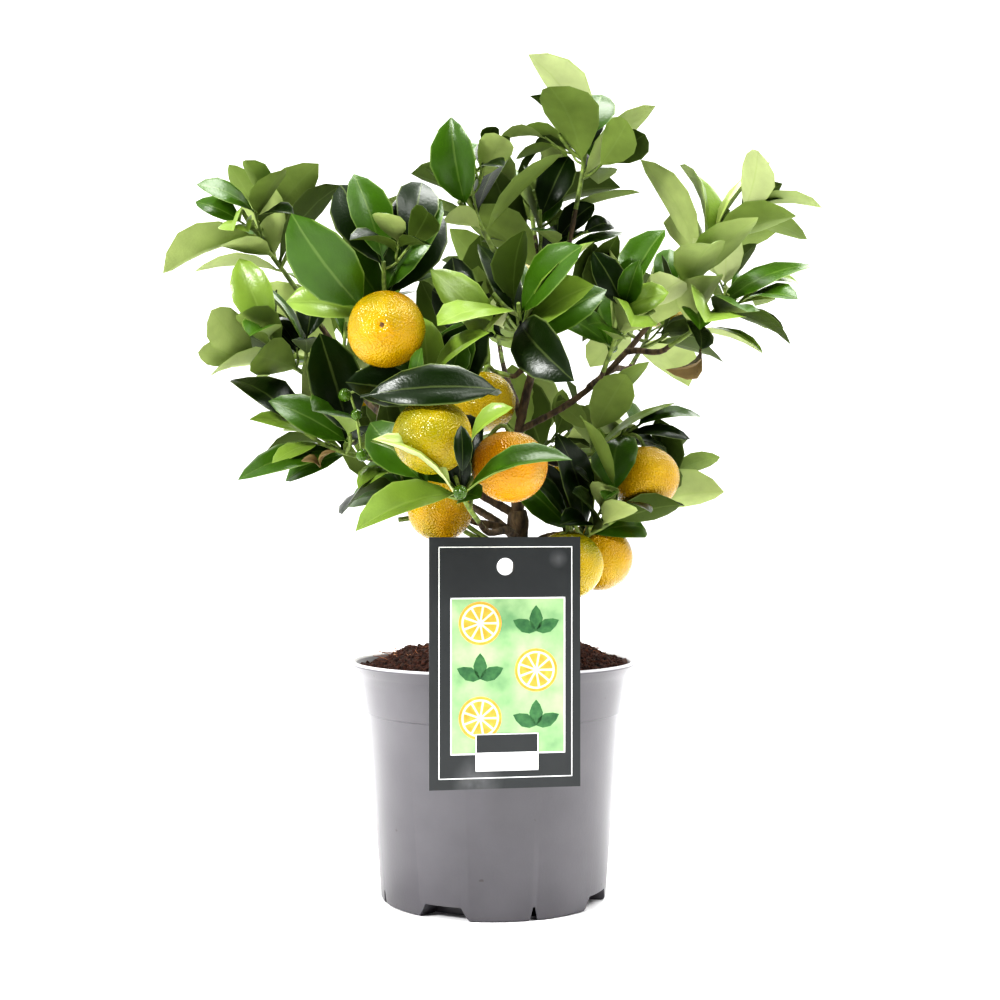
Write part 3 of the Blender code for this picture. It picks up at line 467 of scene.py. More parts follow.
# %% Wall, band and rim
POT_SEGMENTS = 144
pot_profile = [
    (0.0, 0.0), (FOOT_RADIUS - 0.0020, 0.0), (FOOT_RADIUS - 0.0006, 0.0004), (FOOT_RADIUS, 0.0014),
    (WALL_TOP_RADIUS, BAND_FOOT - 0.0012), (WALL_TOP_RADIUS + 0.0003, BAND_FOOT - 0.0005),
    (BAND_FOOT_RADIUS - 0.0002, BAND_FOOT - 0.0001), (BAND_FOOT_RADIUS, BAND_FOOT + 0.0006),
    (BAND_TOP_RADIUS - 0.0001, BAND_TOP - 0.0010), (BAND_TOP_RADIUS + 0.0003, BAND_TOP),
    (RIM_RADIUS - 0.0036, POT_HEIGHT - 0.0072), (RIM_RADIUS - 0.0028, POT_HEIGHT - 0.0064),
    (RIM_RADIUS - 0.0010, POT_HEIGHT - 0.0030), (RIM_RADIUS, POT_HEIGHT - 0.0018),
    (RIM_RADIUS, POT_HEIGHT - 0.0008), (RIM_RADIUS - 0.0006, POT_HEIGHT),
    (RIM_RADIUS - 0.0014, POT_HEIGHT), (RIM_RADIUS - 0.0022, POT_HEIGHT - 0.0006),
    (RIM_RADIUS - 0.0048, POT_HEIGHT - 0.0062), (BAND_TOP_RADIUS - WALL, BAND_TOP),
    (WALL_TOP_RADIUS - WALL, BAND_FOOT), (FOOT_RADIUS - WALL, FLOOR), (0.0, FLOOR),
]
pot = add_piece("nursery_pot", *turned(pot_profile, POT_SEGMENTS), pot_finish)
blocks, cutters = [], []
spread = math.degrees(WALL / FOOT_RADIUS)
foot, top = RECESS_HALF_ANGLES
for k in range(RECESSES):
    quarter = k * 360.0 / RECESSES
    hollow = sector(
        FOOT_RADIUS - RECESS_DEPTH - WALL, FOOT_RADIUS - BLOCK_INSET, FLOOR / 2, RECESS_HEIGHT + WALL,
        foot + spread, top + spread, RECESS_TURN + quarter,
    )
    blocks.append(add_piece(f"block_{k}", *hollow, pot_finish))
    for name, depth, halves, turn, steps in (
        ("recess", RECESS_DEPTH, RECESS_HALF_ANGLES, RECESS_TURN, 10),
        ("slit", SLIT_DEPTH, SLIT_HALF_ANGLES, SLIT_TURN, 2),
    ):
        reach = (FOOT_RADIUS - depth, FOOT_RADIUS + CUT_BEYOND, CUT_UNDER, RECESS_HEIGHT)
        cutter = sector(*reach, *halves, turn + quarter, steps)
        cutters.append(add_piece(f"{name}_{k}", *cutter, pot_finish))
boolean(pot, blocks, "UNION")
boolean(pot, cutters, "DIFFERENCE")
pot.data.shade_smooth()
pot.data.set_sharp_from_angle(angle=math.radians(32))
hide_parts("pot")
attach(pot, "root")
print("pot", len(pot.data.polygons), "faces", [round(v, 4) for v in pot.dimensions])

# %% [markdown]
# ## The peat
#
# Peat is dark red-brown, and looks like crumbs with pale roots and fibres in it. A plug with a lumpy
# top fills the pot. Crumbs, fibres and a few chips of bark are then strewn on its top by Geometry
# Nodes: Distribute Points on Faces with a fixed seed, one of a few small shapes on each point, and
# none so near the rim that it would stick through it.

# %% Peat plug
PEAT_EDGE, PEAT_CROWN, PEAT_LUMPS, PEAT_RADIUS = 0.1222, 0.1262, 0.0009, 0.0712
PEAT_FLAT, PEAT_TILT, PEAT_SHOULDER, PEAT_EASE = 0.011, 0.0010, 0.0013, 0.0002
PEAT_MOUND, MOUND_INNER, MOUND_OUTER = 0.007, (0.018, 0.030), (0.048, 0.066)
TONGUE_DIP, DIP_REACH, DIP_MIDDLE = 0.005, (0.012, 0.022), (0.007, -0.066)
RIM_INSET, LIP_INSET, LIP_DROP = 0.0018, 0.0048, 0.0062
PEAT_RINGS, PEAT_SEGMENTS = 34, 120
# Waves of the heap as (radians a metre, start), and finer noise as (depth, grain, layer).
WAVE_X, WAVE_Y, WAVE_ACROSS, ACROSS_SHARE = (171, 2.1), (143, 0.4), (307, 0.0), 0.6
FINE_LUMPS = ((0.0011, 210, 0.3), (0.0006, 520, 7.0))
TRUNK_FOOT = Vector((0.012, 0.0, PEAT_CROWN + GAP))


def eased(value, low, high):
    """A smooth step from 0 at low to 1 at high."""
    share = min(1.0, max(0.0, (value - low) / (high - low)))
    return share * share * (3.0 - 2.0 * share)


def wave(rate, start, x):
    """A wave along x."""
    return math.sin(rate * x + start)


def peat_height(x, y):
    """Height of the peat's top: a lumpy heap, flat where the trunk stands, low at the tongue."""
    away = math.hypot(x - TRUNK_FOOT.x, y - TRUNK_FOOT.y)
    slope = min(1.0, max(0.0, away - PEAT_FLAT) / (RIM_RADIUS - 2 * PEAT_FLAT))
    lumps = wave(*WAVE_X, x) * wave(*WAVE_Y, y) + ACROSS_SHARE * wave(*WAVE_ACROSS, x - y)
    side = PEAT_TILT * slope * (x + y) / RIM_RADIUS
    fine = sum(depth * noise.noise((grain * x, grain * y, layer)) for depth, grain, layer in FINE_LUMPS)
    heap = eased(away, *MOUND_INNER) * (1.0 - eased(math.hypot(x, y), *MOUND_OUTER))
    height = PEAT_CROWN - (PEAT_CROWN - PEAT_EDGE) * slope**1.6 + PEAT_MOUND * heap
    dip = 1.0 - eased(math.hypot(x - DIP_MIDDLE[0], y - DIP_MIDDLE[1]), *DIP_REACH)
    return height + side + PEAT_LUMPS * lumps * slope + fine - TONGUE_DIP * dip


def inside_pot(x, y, z):
    """A point of the peat, drawn in where it would come too near the flared wall."""
    low, high = BAND_TOP_RADIUS - WALL, RIM_RADIUS - LIP_INSET
    if z < POT_HEIGHT - LIP_DROP:
        radius = low + (high - low) * (z - BAND_TOP) / (POT_HEIGHT - LIP_DROP - BAND_TOP)
    else:
        radius = high + (LIP_INSET - RIM_INSET) * (z - POT_HEIGHT + LIP_DROP) / LIP_DROP
    ease = min(1.0, (radius - GAP - PEAT_EASE) / max(math.hypot(x, y), GAP))
    return (x * ease, y * ease, z) if z > BAND_TOP else (x, y, z)


def settle(x, y, height):
    """How far a point of the plug's flat top moves."""
    return peat_height(x, y) - POT_HEIGHT if height == POT_HEIGHT else 0.0


inset = WALL + GAP + PEAT_EASE
plug_foot = RECESS_HEIGHT + WALL + GAP
plug = [
    (0.0, plug_foot), (FOOT_RADIUS - inset, plug_foot), (WALL_TOP_RADIUS - inset, BAND_FOOT),
    (BAND_TOP_RADIUS - inset - PEAT_SHOULDER, BAND_TOP),
]
plug += [(PEAT_RADIUS * (1.0 - k / PEAT_RINGS), POT_HEIGHT) for k in range(PEAT_RINGS)]
plug.append((0.0, POT_HEIGHT))
peat_finish = mottled(
    "peat", paint(30, 17, 13), paint(78, 45, 33), 0.92, 420, relief=(1500, 0.0006), contrast=3.0
)
plug_verts, plug_faces = turned(plug, PEAT_SEGMENTS, settle)
peat = add_piece("peat_plug", [inside_pot(*v) for v in plug_verts], plug_faces, peat_finish, 40)
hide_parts("peat")
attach(peat, "root")
print("peat", len(peat.data.polygons), "faces")


# %% Shapes to strew
def shape_set(name, shapes, smooth_angle=60):
    """A collection of small shapes that a tree picks from, out of the scene. Leaves also have marks:
    a place on their UV map for each vertex, and whether each face is of the underside."""
    collection = bpy.data.collections.new(name)
    for k, (verts, faces, *marks) in enumerate(shapes):
        shape = add_piece(f"{name}_{k:02d}", verts, faces, smooth_angle=smooth_angle)
        if marks:
            spots, under = marks
            uv = shape.data.uv_layers.new(name="UVMap")
            for loop in shape.data.loops:
                uv.data[loop.index].uv = spots[loop.vertex_index]
            shape.data.attributes.new("under", "BOOLEAN", "FACE").data.foreach_set("value", under)
        scene.collection.objects.unlink(shape)
        collection.objects.link(shape)
    return collection


def crumb(seed):
    """A rough lump of peat, 1 m across, of twenty faces."""
    rng = random.Random(seed)
    ball = bmesh.new()
    bmesh.ops.create_icosphere(ball, subdivisions=1, radius=0.5)
    verts = [v.co * rng.uniform(0.65, 1.15) for v in ball.verts]
    faces = [tuple(v.index for v in f.verts) for f in ball.faces]
    ball.free()
    return verts, faces


def fibre(seed, thick=0.035, steps=4):
    """A bent root or fibre, 1 m long, three-sided."""
    rng = random.Random(seed)
    points = [Vector((0.0, 0.0, 0.0))]
    heading = Vector((1.0, 0.0, 0.2))
    for k in range(steps):
        heading += Vector((0.0, rng.uniform(-0.7, 0.7), rng.uniform(-0.45, 0.35)))
        points.append(points[-1] + heading.normalized() / steps)
    verts = []
    for point in points:
        for k in range(3):
            angle = 2 * math.pi * k / 3
            verts.append(point + Vector((0.0, math.cos(angle), math.sin(angle))) * thick / 2)
    return verts, [(2, 1, 0), tuple(range(3 * steps, 3 * steps + 3))] + bridged(3, steps + 1)


def chip(seed):
    """A flat splinter of bark, 1 m long."""
    rng = random.Random(seed)
    rim = [(-0.5, -0.12), (-0.1, -0.22), (0.45, -0.14), (0.55, 0.05), (0.1, 0.2), (-0.45, 0.16)]
    rim = [(x + rng.uniform(-0.08, 0.08), y + rng.uniform(-0.05, 0.05)) for x, y in rim]
    verts = [(x, y, z + 0.1 * x * x) for z in (-0.05, 0.05) for x, y in rim]
    return verts, [(5, 4, 3, 2, 1, 0), (6, 7, 8, 9, 10, 11)] + bridged(6, 2)


crumbs = shape_set("crumb", [crumb(k) for k in range(6)])
fibres = shape_set("fibre", [fibre(k) for k in range(8)])
chips = shape_set("chip", [chip(k) for k in range(4)])


# %% The strewing tree
UPWARD = 0.4


def strewing_tree():
    """Points on the upward faces of the carrier, with a shape of a random size and turn on each."""
    tree, put, end = new_tree("strew", {
        "Shapes": ("Collection", None), "Finish": ("Material", None), "Density": ("Float", 1e5),
        "Smallest": ("Float", 0.001), "Largest": ("Float", 0.003), "Tilt": ("Float", 3.1),
        "Reach": ("Float", 0.06), "Seed": ("Int", 1),
    })
    normal = add_node(tree, "GeometryNodeInputNormal").outputs[0]
    rise = add_node(tree, "ShaderNodeSeparateXYZ", (), normal).outputs["Z"]
    is_top = reckon(tree, "GREATER_THAN", rise, UPWARD, kind="FunctionNodeCompare")
    away = from_axis(tree, add_node(tree, "GeometryNodeInputPosition").outputs[0])
    is_near = reckon(tree, "LESS_THAN", away, put["Reach"], kind="FunctionNodeCompare")
    spots = add_node(
        tree, "GeometryNodeDistributePointsOnFaces", Mesh=put["Geometry"],
        Selection=reckon(tree, "AND", is_top, is_near, kind="FunctionNodeBooleanMath"),
        Density=put["Density"], Seed=put["Seed"],
    )
    tilt = add_node(tree, "ShaderNodeCombineXYZ", X=put["Tilt"], Y=put["Tilt"], Z=6.283).outputs[0]
    turn = add_node(
        tree, "FunctionNodeRandomValue", {"data_type": "FLOAT_VECTOR"}, (0.0, 0.0, 0.0), tilt,
        Seed=put["Seed"],
    )
    size = add_node(
        tree, "FunctionNodeRandomValue", {"data_type": "FLOAT"}, None, None, put["Smallest"],
        put["Largest"], Seed=put["Seed"],
    )
    spin = add_node(tree, "FunctionNodeEulerToRotation", Euler=turn.outputs[0])
    real = on_points(tree, put, spots.outputs["Points"], Rotation=spin.outputs[0], Scale=size.outputs[1])
    connect(tree, finished(tree, real, put["Finish"]), end)
    return tree


strew = strewing_tree()
print("tree", strew.name, len(strew.nodes), "nodes")

# %% Crumbs, fibres and chips
fibre_finish = mottled("root fibre", paint(94, 54, 38), paint(152, 104, 74), 0.85, 300, contrast=3.0)
chip_finish = mottled("bark chip", paint(128, 86, 60), paint(190, 150, 118), 0.85, 500, contrast=3.0)
strewn = [
    ("peat_crumbs", crumbs, peat_finish, 2.0e5, 0.0010, 0.0034, 3.1, 0.0685, 3),
    ("peat_fibres", fibres, fibre_finish, 5.0e4, 0.0050, 0.0125, 0.45, 0.0600, 8),
    ("bark_chips", chips, chip_finish, 1.6e3, 0.0050, 0.0085, 0.35, 0.0600, 5),
]
for name, shapes, finish, density, smallest, largest, tilt, reach, seed in strewn:
    piece = run_tree(
        into_scene("carrier", peat.data.copy()), strew, name, shapes=shapes, finish=finish,
        density=density, smallest=smallest, largest=largest, tilt=tilt, reach=reach, seed=seed,
    )
    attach(piece, "root")

# %% [markdown]
# ## The growth rule: limbs
#
# A limb is a line of points with a radius at each. It leaves its parent at an angle, bends, and
# arrives in another direction, as a shoot does that turns to the light. The rule is the same one that
# made the solids, with the same numbers, so every limb and leaf falls where its solid is.

# %% Sizes of the limbs
TRUNK_TOP = Vector((0.0125, 0.0, 0.204))
TRUNK_BOW = Vector((0.003, 0.002, 0.0))
TRUNK_RADIUS, TRUNK_FLARE, TRUNK_KNOB = 0.0049, 0.0030, 0.0016
TRUNK_SIDES, TRUNK_STEPS = 10, 12
LEADER_RADIUS, BOUGH_RADIUS, BRANCH_RADIUS, BOUGH_TIP_RADIUS = 0.0029, 0.0024, 0.0018, 0.0013
BOUGH_SIDES, BOUGH_STEPS = 5, 5
AXIL_ANGLE, SEAT_REACH, ENTRY, UPSWEEP = 56.0, 0.09, 0.62, 0.30
STEM_RADIUS, SHOOT_RADIUS, SHOOT_EXTRA = 0.0013, 0.0011, 0.008
SIDE_SHOOTS, TWIG_SIDES, STEM_OVERSHOOT, STEM_NODES = 3, 3, 0.16, 8


# %% A limb and its bend
class Limb:
    """A tapering limb: points along its middle line, with a radius at each."""

    def __init__(self, points, thick, thin):
        self.points = points
        steps = len(points) - 1
        self.radii = [thick + (thin - thick) * k / steps for k in range(steps + 1)]

    def at(self, share):
        """Place, direction and radius at a share of the limb's steps."""
        place = min(1.0, max(0.0, share)) * (len(self.points) - 1)
        k = min(int(place), len(self.points) - 2)
        rest = place - k
        point = self.points[k].lerp(self.points[k + 1], rest)
        along = (self.points[k + 1] - self.points[k]).normalized()
        radius = self.radii[k] * (1 - rest) + self.radii[k + 1] * rest
        return point, along, radius


def bent(start, launch, finish, arrival, steps):
    """Points of a smooth bend that leaves along launch and arrives along arrival."""
    handle = (finish - start).length * 0.36
    a = start + launch * handle
    b = finish - arrival * handle
    points = []
    for k in range(steps + 1):
        t = k / steps
        u = 1 - t
        points.append(start * u**3 + a * (3 * u * u * t) + b * (3 * u * t * t) + finish * t**3)
    return points


def square_to(direction, hint):
    """The unit vector square to direction that lies nearest to hint."""
    flat = hint - direction * hint.dot(direction)
    if flat.length < 1e-6:
        flat = direction.orthogonal()
    return flat.normalized()


# %% The space that a limb takes
def tube(limb, sides, saddle=None, grow=0.0):
    """Verts and faces of a limb. A saddle (point, normal) is the plane its first ring lies in."""
    verts, points = [], limb.points
    side = square_to((points[1] - points[0]).normalized(), Vector((0.31, -0.87, 0.38)))
    for k, point in enumerate(points):
        before = points[max(0, k - 1)]
        after = points[min(len(points) - 1, k + 1)]
        along = (after - before).normalized()
        side = square_to(along, side)
        across = along.cross(side)
        for j in range(sides):
            angle = 2 * math.pi * j / sides
            ray = side * math.cos(angle) + across * math.sin(angle)
            place = point + ray * (limb.radii[k] + grow)
            if k == 0 and saddle:
                seat, normal = saddle
                place = place + along * ((seat - place).dot(normal) / along.dot(normal))
            verts.append(place)
    last = (len(points) - 1) * sides
    ends = [tuple(reversed(range(sides))), tuple(range(last, last + sides))]
    return verts, bridged(sides, len(points)) + ends


# %% Trunk and boughs
def plan_trunk():
    """The trunk: flared on the peat, leaning a little, with a knob where it was pruned to fork."""
    shares = [k / TRUNK_STEPS for k in range(TRUNK_STEPS + 1)]
    points = [TRUNK_FOOT.lerp(TRUNK_TOP, t) + TRUNK_BOW * math.sin(math.pi * t) for t in shares]
    trunk = Limb(points, TRUNK_RADIUS, TRUNK_RADIUS * 0.86)
    for k, t in enumerate(shares):
        flare = TRUNK_FLARE * math.exp(-t / 0.07)
        trunk.radii[k] += flare + TRUNK_KNOB * math.exp(-(((t - 0.93) / 0.07) ** 2))
    return trunk


def plan_bough(centre, reach, parent, share):
    """The limb from its parent to where it enters a mass, and the plane its foot lies in."""
    place, along, _ = parent.at(share)
    arrival = ((centre - place).normalized() + Vector((0, 0, UPSWEEP))).normalized()
    entry = centre - arrival * reach * ENTRY
    if share >= 1.0:
        start, launch, thick = place + along * GAP, along, LEADER_RADIUS
        foot = (start, along)
    else:
        radius = max(parent.at(share + step)[2] for step in (-SEAT_REACH, 0.0, SEAT_REACH))
        outward = square_to(along, entry - place)
        axil = math.radians(AXIL_ANGLE)
        launch = (along * math.cos(axil) + outward * math.sin(axil)).normalized()
        start = place + launch * ((radius + GAP) / math.sin(axil))
        thick = BOUGH_RADIUS if parent is trunk else BRANCH_RADIUS
        foot = (place + outward * (radius + GAP), outward)
    return Limb(bent(start, launch, entry, arrival, BOUGH_STEPS), thick, BOUGH_TIP_RADIUS), foot


trunk = plan_trunk()
print("trunk", len(trunk.points), "points, radius", round(trunk.radii[0], 4))

# %% [markdown]
# ## The growth rule: leaves and fruit
#
# The crown is made of masses of foliage. Each has a middle, a reach, the limb that its bough leaves,
# and a seed. Inside it, side shoots and leaves grow in a spiral, each turned by the golden angle from
# the last, as on the real plant. A leaf that would leave its mass or touch anything is tried again in
# another direction, and given up if it finds no room.

# %% Sizes of the leaves and fruit
LEAVES_A_MASS, LEAF_TRIES = 9, 8
LEAF_LENGTHS = (0.046, 0.064)
LONGEST_LEAF, NAMED_LENGTH, NAMED_ROLLS = 0.066, 0.054, (0.0, 0.7, -0.7, 1.6, -1.6)
LEAF_WIDTH, LEAF_THICK, LEAF_ROOT, ROOT_SINK = 0.52, 0.0012, 0.0008, 0.0012
LEAF_DROOP, LEAF_CLEARANCE = 0.10, 0.0005
LEAF_SPREAD, FOOT_SPREAD, LEAF_LIFT, LEAF_ROLL = (28, 55), 42, 0.12, 0.5
TURN_JITTER, RETRY_TURN, RETRY_SHRINK = 0.3, 1.3, 0.07
SHOOT_LENGTHS, SHOOT_FOOT, SHOOT_STEP = (0.28, 0.42), 0.35, 0.22
CROWN_MIDDLE = Vector((0.0, 0.0, 0.27))
FACE_ALONG, FACE_UP, FACE_OUT = 0.9, 0.55, 0.15
GOLDEN_TURN = math.radians(137.5)
FRUIT_FLATTEN, FRUIT_SEGMENTS, FRUIT_RINGS = 0.94, 9, 6
STALK_RADIUS, STALK_SINK, FRUIT_WINDOW = 0.0011, 0.0020, 0.80
CARD_WIDTH, CARD_HEIGHT, CARD_THICK = 0.074, 0.121, 0.0008
CARD_MIDDLE, CARD_YAW = Vector((0.006, -0.0815, 0.131)), 10.0
CARD_CLEAR = CARD_HEIGHT / 2 + 0.004

# %% Masses of foliage
MASSES = (
    ("top", (0.049, 0.000, 0.401), 0.060, "trunk", 1.00, 104),
    ("left_crest", (-0.122, -0.010, 0.349), 0.058, "trunk", 0.97, 31),
    ("right_crest", (0.120, 0.000, 0.357), 0.056, "top", 0.26, 58),
    ("crest_left", (-0.012, -0.030, 0.366), 0.053, "top", 0.62, 30),
    ("centre_upper", (0.025, 0.015, 0.350), 0.052, "top", 0.50, 25),
    ("centre", (0.013, -0.085, 0.300), 0.052, "top", 0.42, 57),
    ("inner", (-0.012, 0.015, 0.294), 0.048, "top", 0.46, 25),
    ("left_flank", (-0.112, -0.020, 0.289), 0.053, "left_crest", 0.62, 35),
    ("left_foot", (-0.089, -0.040, 0.243), 0.055, "left_crest", 0.36, 1),
    ("left_front", (-0.052, -0.090, 0.316), 0.060, "left_crest", 0.50, 33),
    ("centre_low", (-0.030, -0.095, 0.262), 0.048, "left_crest", 0.24, 47),
    ("front_foot", (-0.015, -0.105, 0.217), 0.056, "trunk", 0.76, 55),
    ("right_inner", (0.064, -0.040, 0.301), 0.052, "right_crest", 0.34, 18),
    ("right_flank", (0.112, -0.045, 0.309), 0.058, "right_crest", 0.58, 29),
    ("right_foot", (0.067, -0.005, 0.247), 0.054, "top", 0.16, 12),
    ("right_low", (0.050, -0.030, 0.197), 0.052, "trunk", 0.74, 3),
    ("right_side", (0.092, 0.035, 0.217), 0.050, "trunk", 0.70, 39),
    ("low_left", (-0.042, -0.012, 0.227), 0.055, "trunk", 0.82, 51),
    ("back_left", (-0.090, 0.075, 0.300), 0.058, "left_crest", 0.42, 32),
    ("back_right", (0.090, 0.085, 0.310), 0.058, "right_crest", 0.44, 56),
    ("back_centre", (0.000, 0.105, 0.325), 0.058, "top", 0.28, 22),
    ("back_top", (0.020, 0.060, 0.385), 0.053, "top", 0.68, 25),
    ("back_low", (0.030, 0.100, 0.245), 0.055, "trunk", 0.94, 1),
    ("back_foot", (-0.052, 0.080, 0.250), 0.054, "trunk", 0.78, 8),
)

# %% Leaf tips of the outline, some with a roll, and the fruit
LEAF_TIPS = {
    "top": ((0.019, -0.005, 0.446), (0.086, 0.000, 0.420), (0.059, 0.020, 0.431)),
    "crest_left": ((-0.029, -0.030, 0.401), (-0.035, -0.020, 0.383), (-0.026, -0.050, 0.349)),
    "left_crest": ((-0.136, -0.020, 0.383), (-0.093, -0.005, 0.388), (-0.172, -0.020, 0.328)),
    "left_flank": ((-0.146, -0.030, 0.276), (-0.142, -0.020, 0.301)),
    "left_foot": ((-0.128, -0.050, 0.219), (-0.122, -0.045, 0.253), (-0.136, -0.020, 0.272)),
    "left_front": ((-0.077, -0.100, 0.332), (-0.026, -0.070, 0.351)),
    "centre_low": ((0.002, -0.125, 0.258),),
    "front_foot": (
        (-0.063, -0.120, 0.196),
        (-0.055, -0.120, 0.237),
        (0.036, -0.135, 0.229, -1.6, -1.1, -0.7),
    ),
    "centre": ((-0.025, -0.125, 0.290), (0.047, -0.100, 0.311), (0.037, -0.120, 0.264)),
    "right_inner": ((0.059, -0.060, 0.334), (0.076, -0.050, 0.344)),
    "centre_upper": ((0.080, 0.020, 0.378),),
    "right_crest": ((0.175, 0.000, 0.366), (0.149, 0.010, 0.392), (0.101, 0.020, 0.392)),
    "right_flank": ((0.163, -0.040, 0.330), (0.135, -0.055, 0.284), (0.110, -0.070, 0.319)),
    "right_foot": ((0.097, 0.000, 0.262), (0.060, -0.050, 0.217)),
    "right_low": ((0.081, 0.000, 0.194),),
    "right_side": ((0.127, 0.030, 0.214),),
}
FRUITS = {
    "left_front": (((-0.049, -0.115, 0.288), 0.036),),
    "front_foot": (((-0.027, -0.129, 0.238), 0.0365), ((0.008, -0.100, 0.225), 0.036)),
    "inner": (((-0.005, 0.000, 0.262), 0.034),),
    "low_left": (((-0.027, -0.035, 0.2045), 0.034),),
    "right_foot": (((0.079, -0.017, 0.221), 0.036),),
    "right_low": (((0.054, -0.012, 0.180), 0.038), ((0.037, -0.055, 0.177), 0.036)),
    "back_left": (((-0.082, 0.100, 0.268), 0.036),),
    "back_right": (((0.100, 0.110, 0.330), 0.035),),
    "back_centre": (((0.020, 0.128, 0.338), 0.036),),
    "back_low": (((0.036, 0.122, 0.218), 0.036),),
    "back_foot": (((-0.060, 0.098, 0.222), 0.034),),
}
print(len(MASSES), "masses,", sum(len(fruit) for fruit in FRUITS.values()), "fruit")


# %% The space that a leaf or fruit takes
def leaf_space(leaf, grow=0.0, skip=0.0):
    """Verts and faces of a plain leaf on a keel, used to keep leaves apart."""
    base, tip, normal, width = leaf
    length = (tip - base).length
    along = (tip - base) / length
    up = square_to(along, normal)
    side = along.cross(up)
    half = LEAF_THICK / 2 + grow

    def station(share, half_width):
        arch = 4 * LEAF_DROOP * length * share * (1 - share)
        middle = base + along * (length * share) + up * arch
        reach = side * (half_width + grow)
        return middle - reach + up * half, middle + reach + up * half, middle - up * half

    verts = [*station(skip, LEAF_ROOT + width * skip)]
    verts.extend(station(0.36, width * 0.47))
    verts.extend(station(0.68, width * 0.42))
    verts.append(tip + along * grow)
    faces = [(0, 1, 2)]
    for low in (0, 3):
        faces.extend([(low, low + 3, low + 4, low + 1), (low + 1, low + 4, low + 5, low + 2)])
        faces.append((low + 2, low + 5, low + 3, low))
    return verts, faces + [(6, 9, 7), (7, 9, 8), (8, 9, 6)]


def fruit_space(centre, diameter):
    """Verts and faces of a plain, slightly flattened fruit."""
    profile = []
    for k in range(FRUIT_RINGS + 1):
        angle = math.pi * (k / FRUIT_RINGS - 0.5)
        across = 0.0 if k in (0, FRUIT_RINGS) else diameter / 2 * math.cos(angle)
        profile.append((across, diameter / 2 * FRUIT_FLATTEN * math.sin(angle)))
    verts, faces = turned(profile, FRUIT_SEGMENTS)
    return [Vector(v) + centre for v in verts], faces


# %% Keep clear of what grows already
class Crowd:
    """Everything that grows already, to keep new growth clear of it."""

    def __init__(self):
        self.items = []

    def measure(self, solid):
        verts, faces = solid
        middle = sum((Vector(v) for v in verts), Vector()) / len(verts)
        size = max((Vector(v) - middle).length for v in verts)
        return BVHTree.FromPolygons(verts, faces), middle, size

    def add(self, owner, solid):
        self.items.append((owner, *self.measure(solid)))

    def touches(self, solid, owner, own=(True, False)):
        """Whether the solid meets anything of that owner (own True) or of another (own False)."""
        tree, middle, size = self.measure(solid)
        for holder, other, place, extent in self.items:
            if (holder == owner) not in own:
                continue
            if (place - middle).length < size + extent and tree.overlap(other):
                return True
        return False


def hides_fruit_or_label(leaf, windows):
    """Whether a leaf hangs before the label or a fruit that faces out of the crown."""
    base, tip = leaf[0], leaf[1]
    for share in (0.3, 0.5, 0.7, 0.9, 1.0):
        point = base.lerp(tip, share)
        off_card = point - CARD_MIDDLE
        if off_card.y < 0 and off_card.z < CARD_CLEAR and abs(off_card.x) < CARD_WIDTH / 2:
            return True
        for centre, radius, facing in windows:
            off = point - centre
            if off.dot(facing) > 0 and (off - facing * off.dot(facing)).length < radius:
                return True
    return False


# %% A mass and the fruit on it
crowd = Crowd()
windows = []


def start_mass(name, centre, reach, bough, seed):
    """A mass with its stem, which carries on from the bough."""
    end, along, _ = bough.at(1.0)
    finish = centre + along * reach * STEM_OVERSHOOT
    rise = (along + Vector((0, 0, 0.5))).normalized()
    stem = Limb(bent(end + along * GAP, along, finish, rise, 4), STEM_RADIUS, STEM_RADIUS * 0.8)
    return SimpleNamespace(
        name=name, centre=centre, reach=reach, seed=seed, random=random.Random(name), stem=stem,
        twigs=[stem], leaves=[], fruits=[], bough=bough, ceiling=1.0,
    )


def hang_fruit(mass, centre, diameter):
    """A fruit on its own stalk, which leaves the stem and bends down into the fruit's top."""
    crown = centre + Vector((0, 0, diameter * FRUIT_FLATTEN / 2))
    shares = [0.15 + 0.1 * k for k in range(6)]
    share = min(shares, key=lambda s: (mass.stem.at(s)[0] - crown).length)
    place, along, _ = mass.stem.at(share)
    outward = square_to(along, crown - place)
    rise = max(0.004, 0.35 * (crown - place).length)
    finish = crown - Vector((0, 0, STALK_SINK))
    launch = (outward + Vector((0, 0, 0.6))).normalized()
    points = bent(place, launch, finish + Vector((0, 0, STALK_SINK)), Vector((0, 0, -1)), 4)
    points[-1] = finish
    points[2] += Vector((0, 0, rise * 0.3))
    mass.twigs.append(Limb(points, STALK_RADIUS, STALK_RADIUS))
    mass.fruits.append((centre, diameter))


# %% Where a leaf may grow and how it is turned
def fits(mass, leaf, named=False):
    """Whether a leaf stays in the mass's space and clear of all that grows already."""
    outside = (leaf[1] - mass.centre).length > mass.reach or leaf[1].z > mass.ceiling
    if not named and (outside or hides_fruit_or_label(leaf, windows)):
        return False
    if crowd.touches(leaf_space(leaf, LEAF_CLEARANCE), mass.name, (False,)):
        return False
    return not crowd.touches(leaf_space(leaf, LEAF_CLEARANCE, skip=0.2), mass.name, (True,))


def add_leaf(mass, leaf):
    """A leaf that stays, and keeps others away."""
    mass.leaves.append(leaf)
    crowd.add(mass.name, leaf_space(leaf))


def blade(mass, base, tip, along, roll=0.0):
    """A leaf whose upper side faces the end of its shoot, the sky and the light outside."""
    heading = (tip - base).normalized()
    light = (base - CROWN_MIDDLE).normalized() * FACE_OUT
    facing = square_to(heading, along * FACE_ALONG + Vector((0, 0, FACE_UP)) + light)
    across = heading.cross(facing)
    facing = (facing + across * (roll + mass.random.uniform(-LEAF_ROLL, LEAF_ROLL))).normalized()
    return base, tip, facing, (tip - base).length * LEAF_WIDTH * mass.random.uniform(0.9, 1.1)


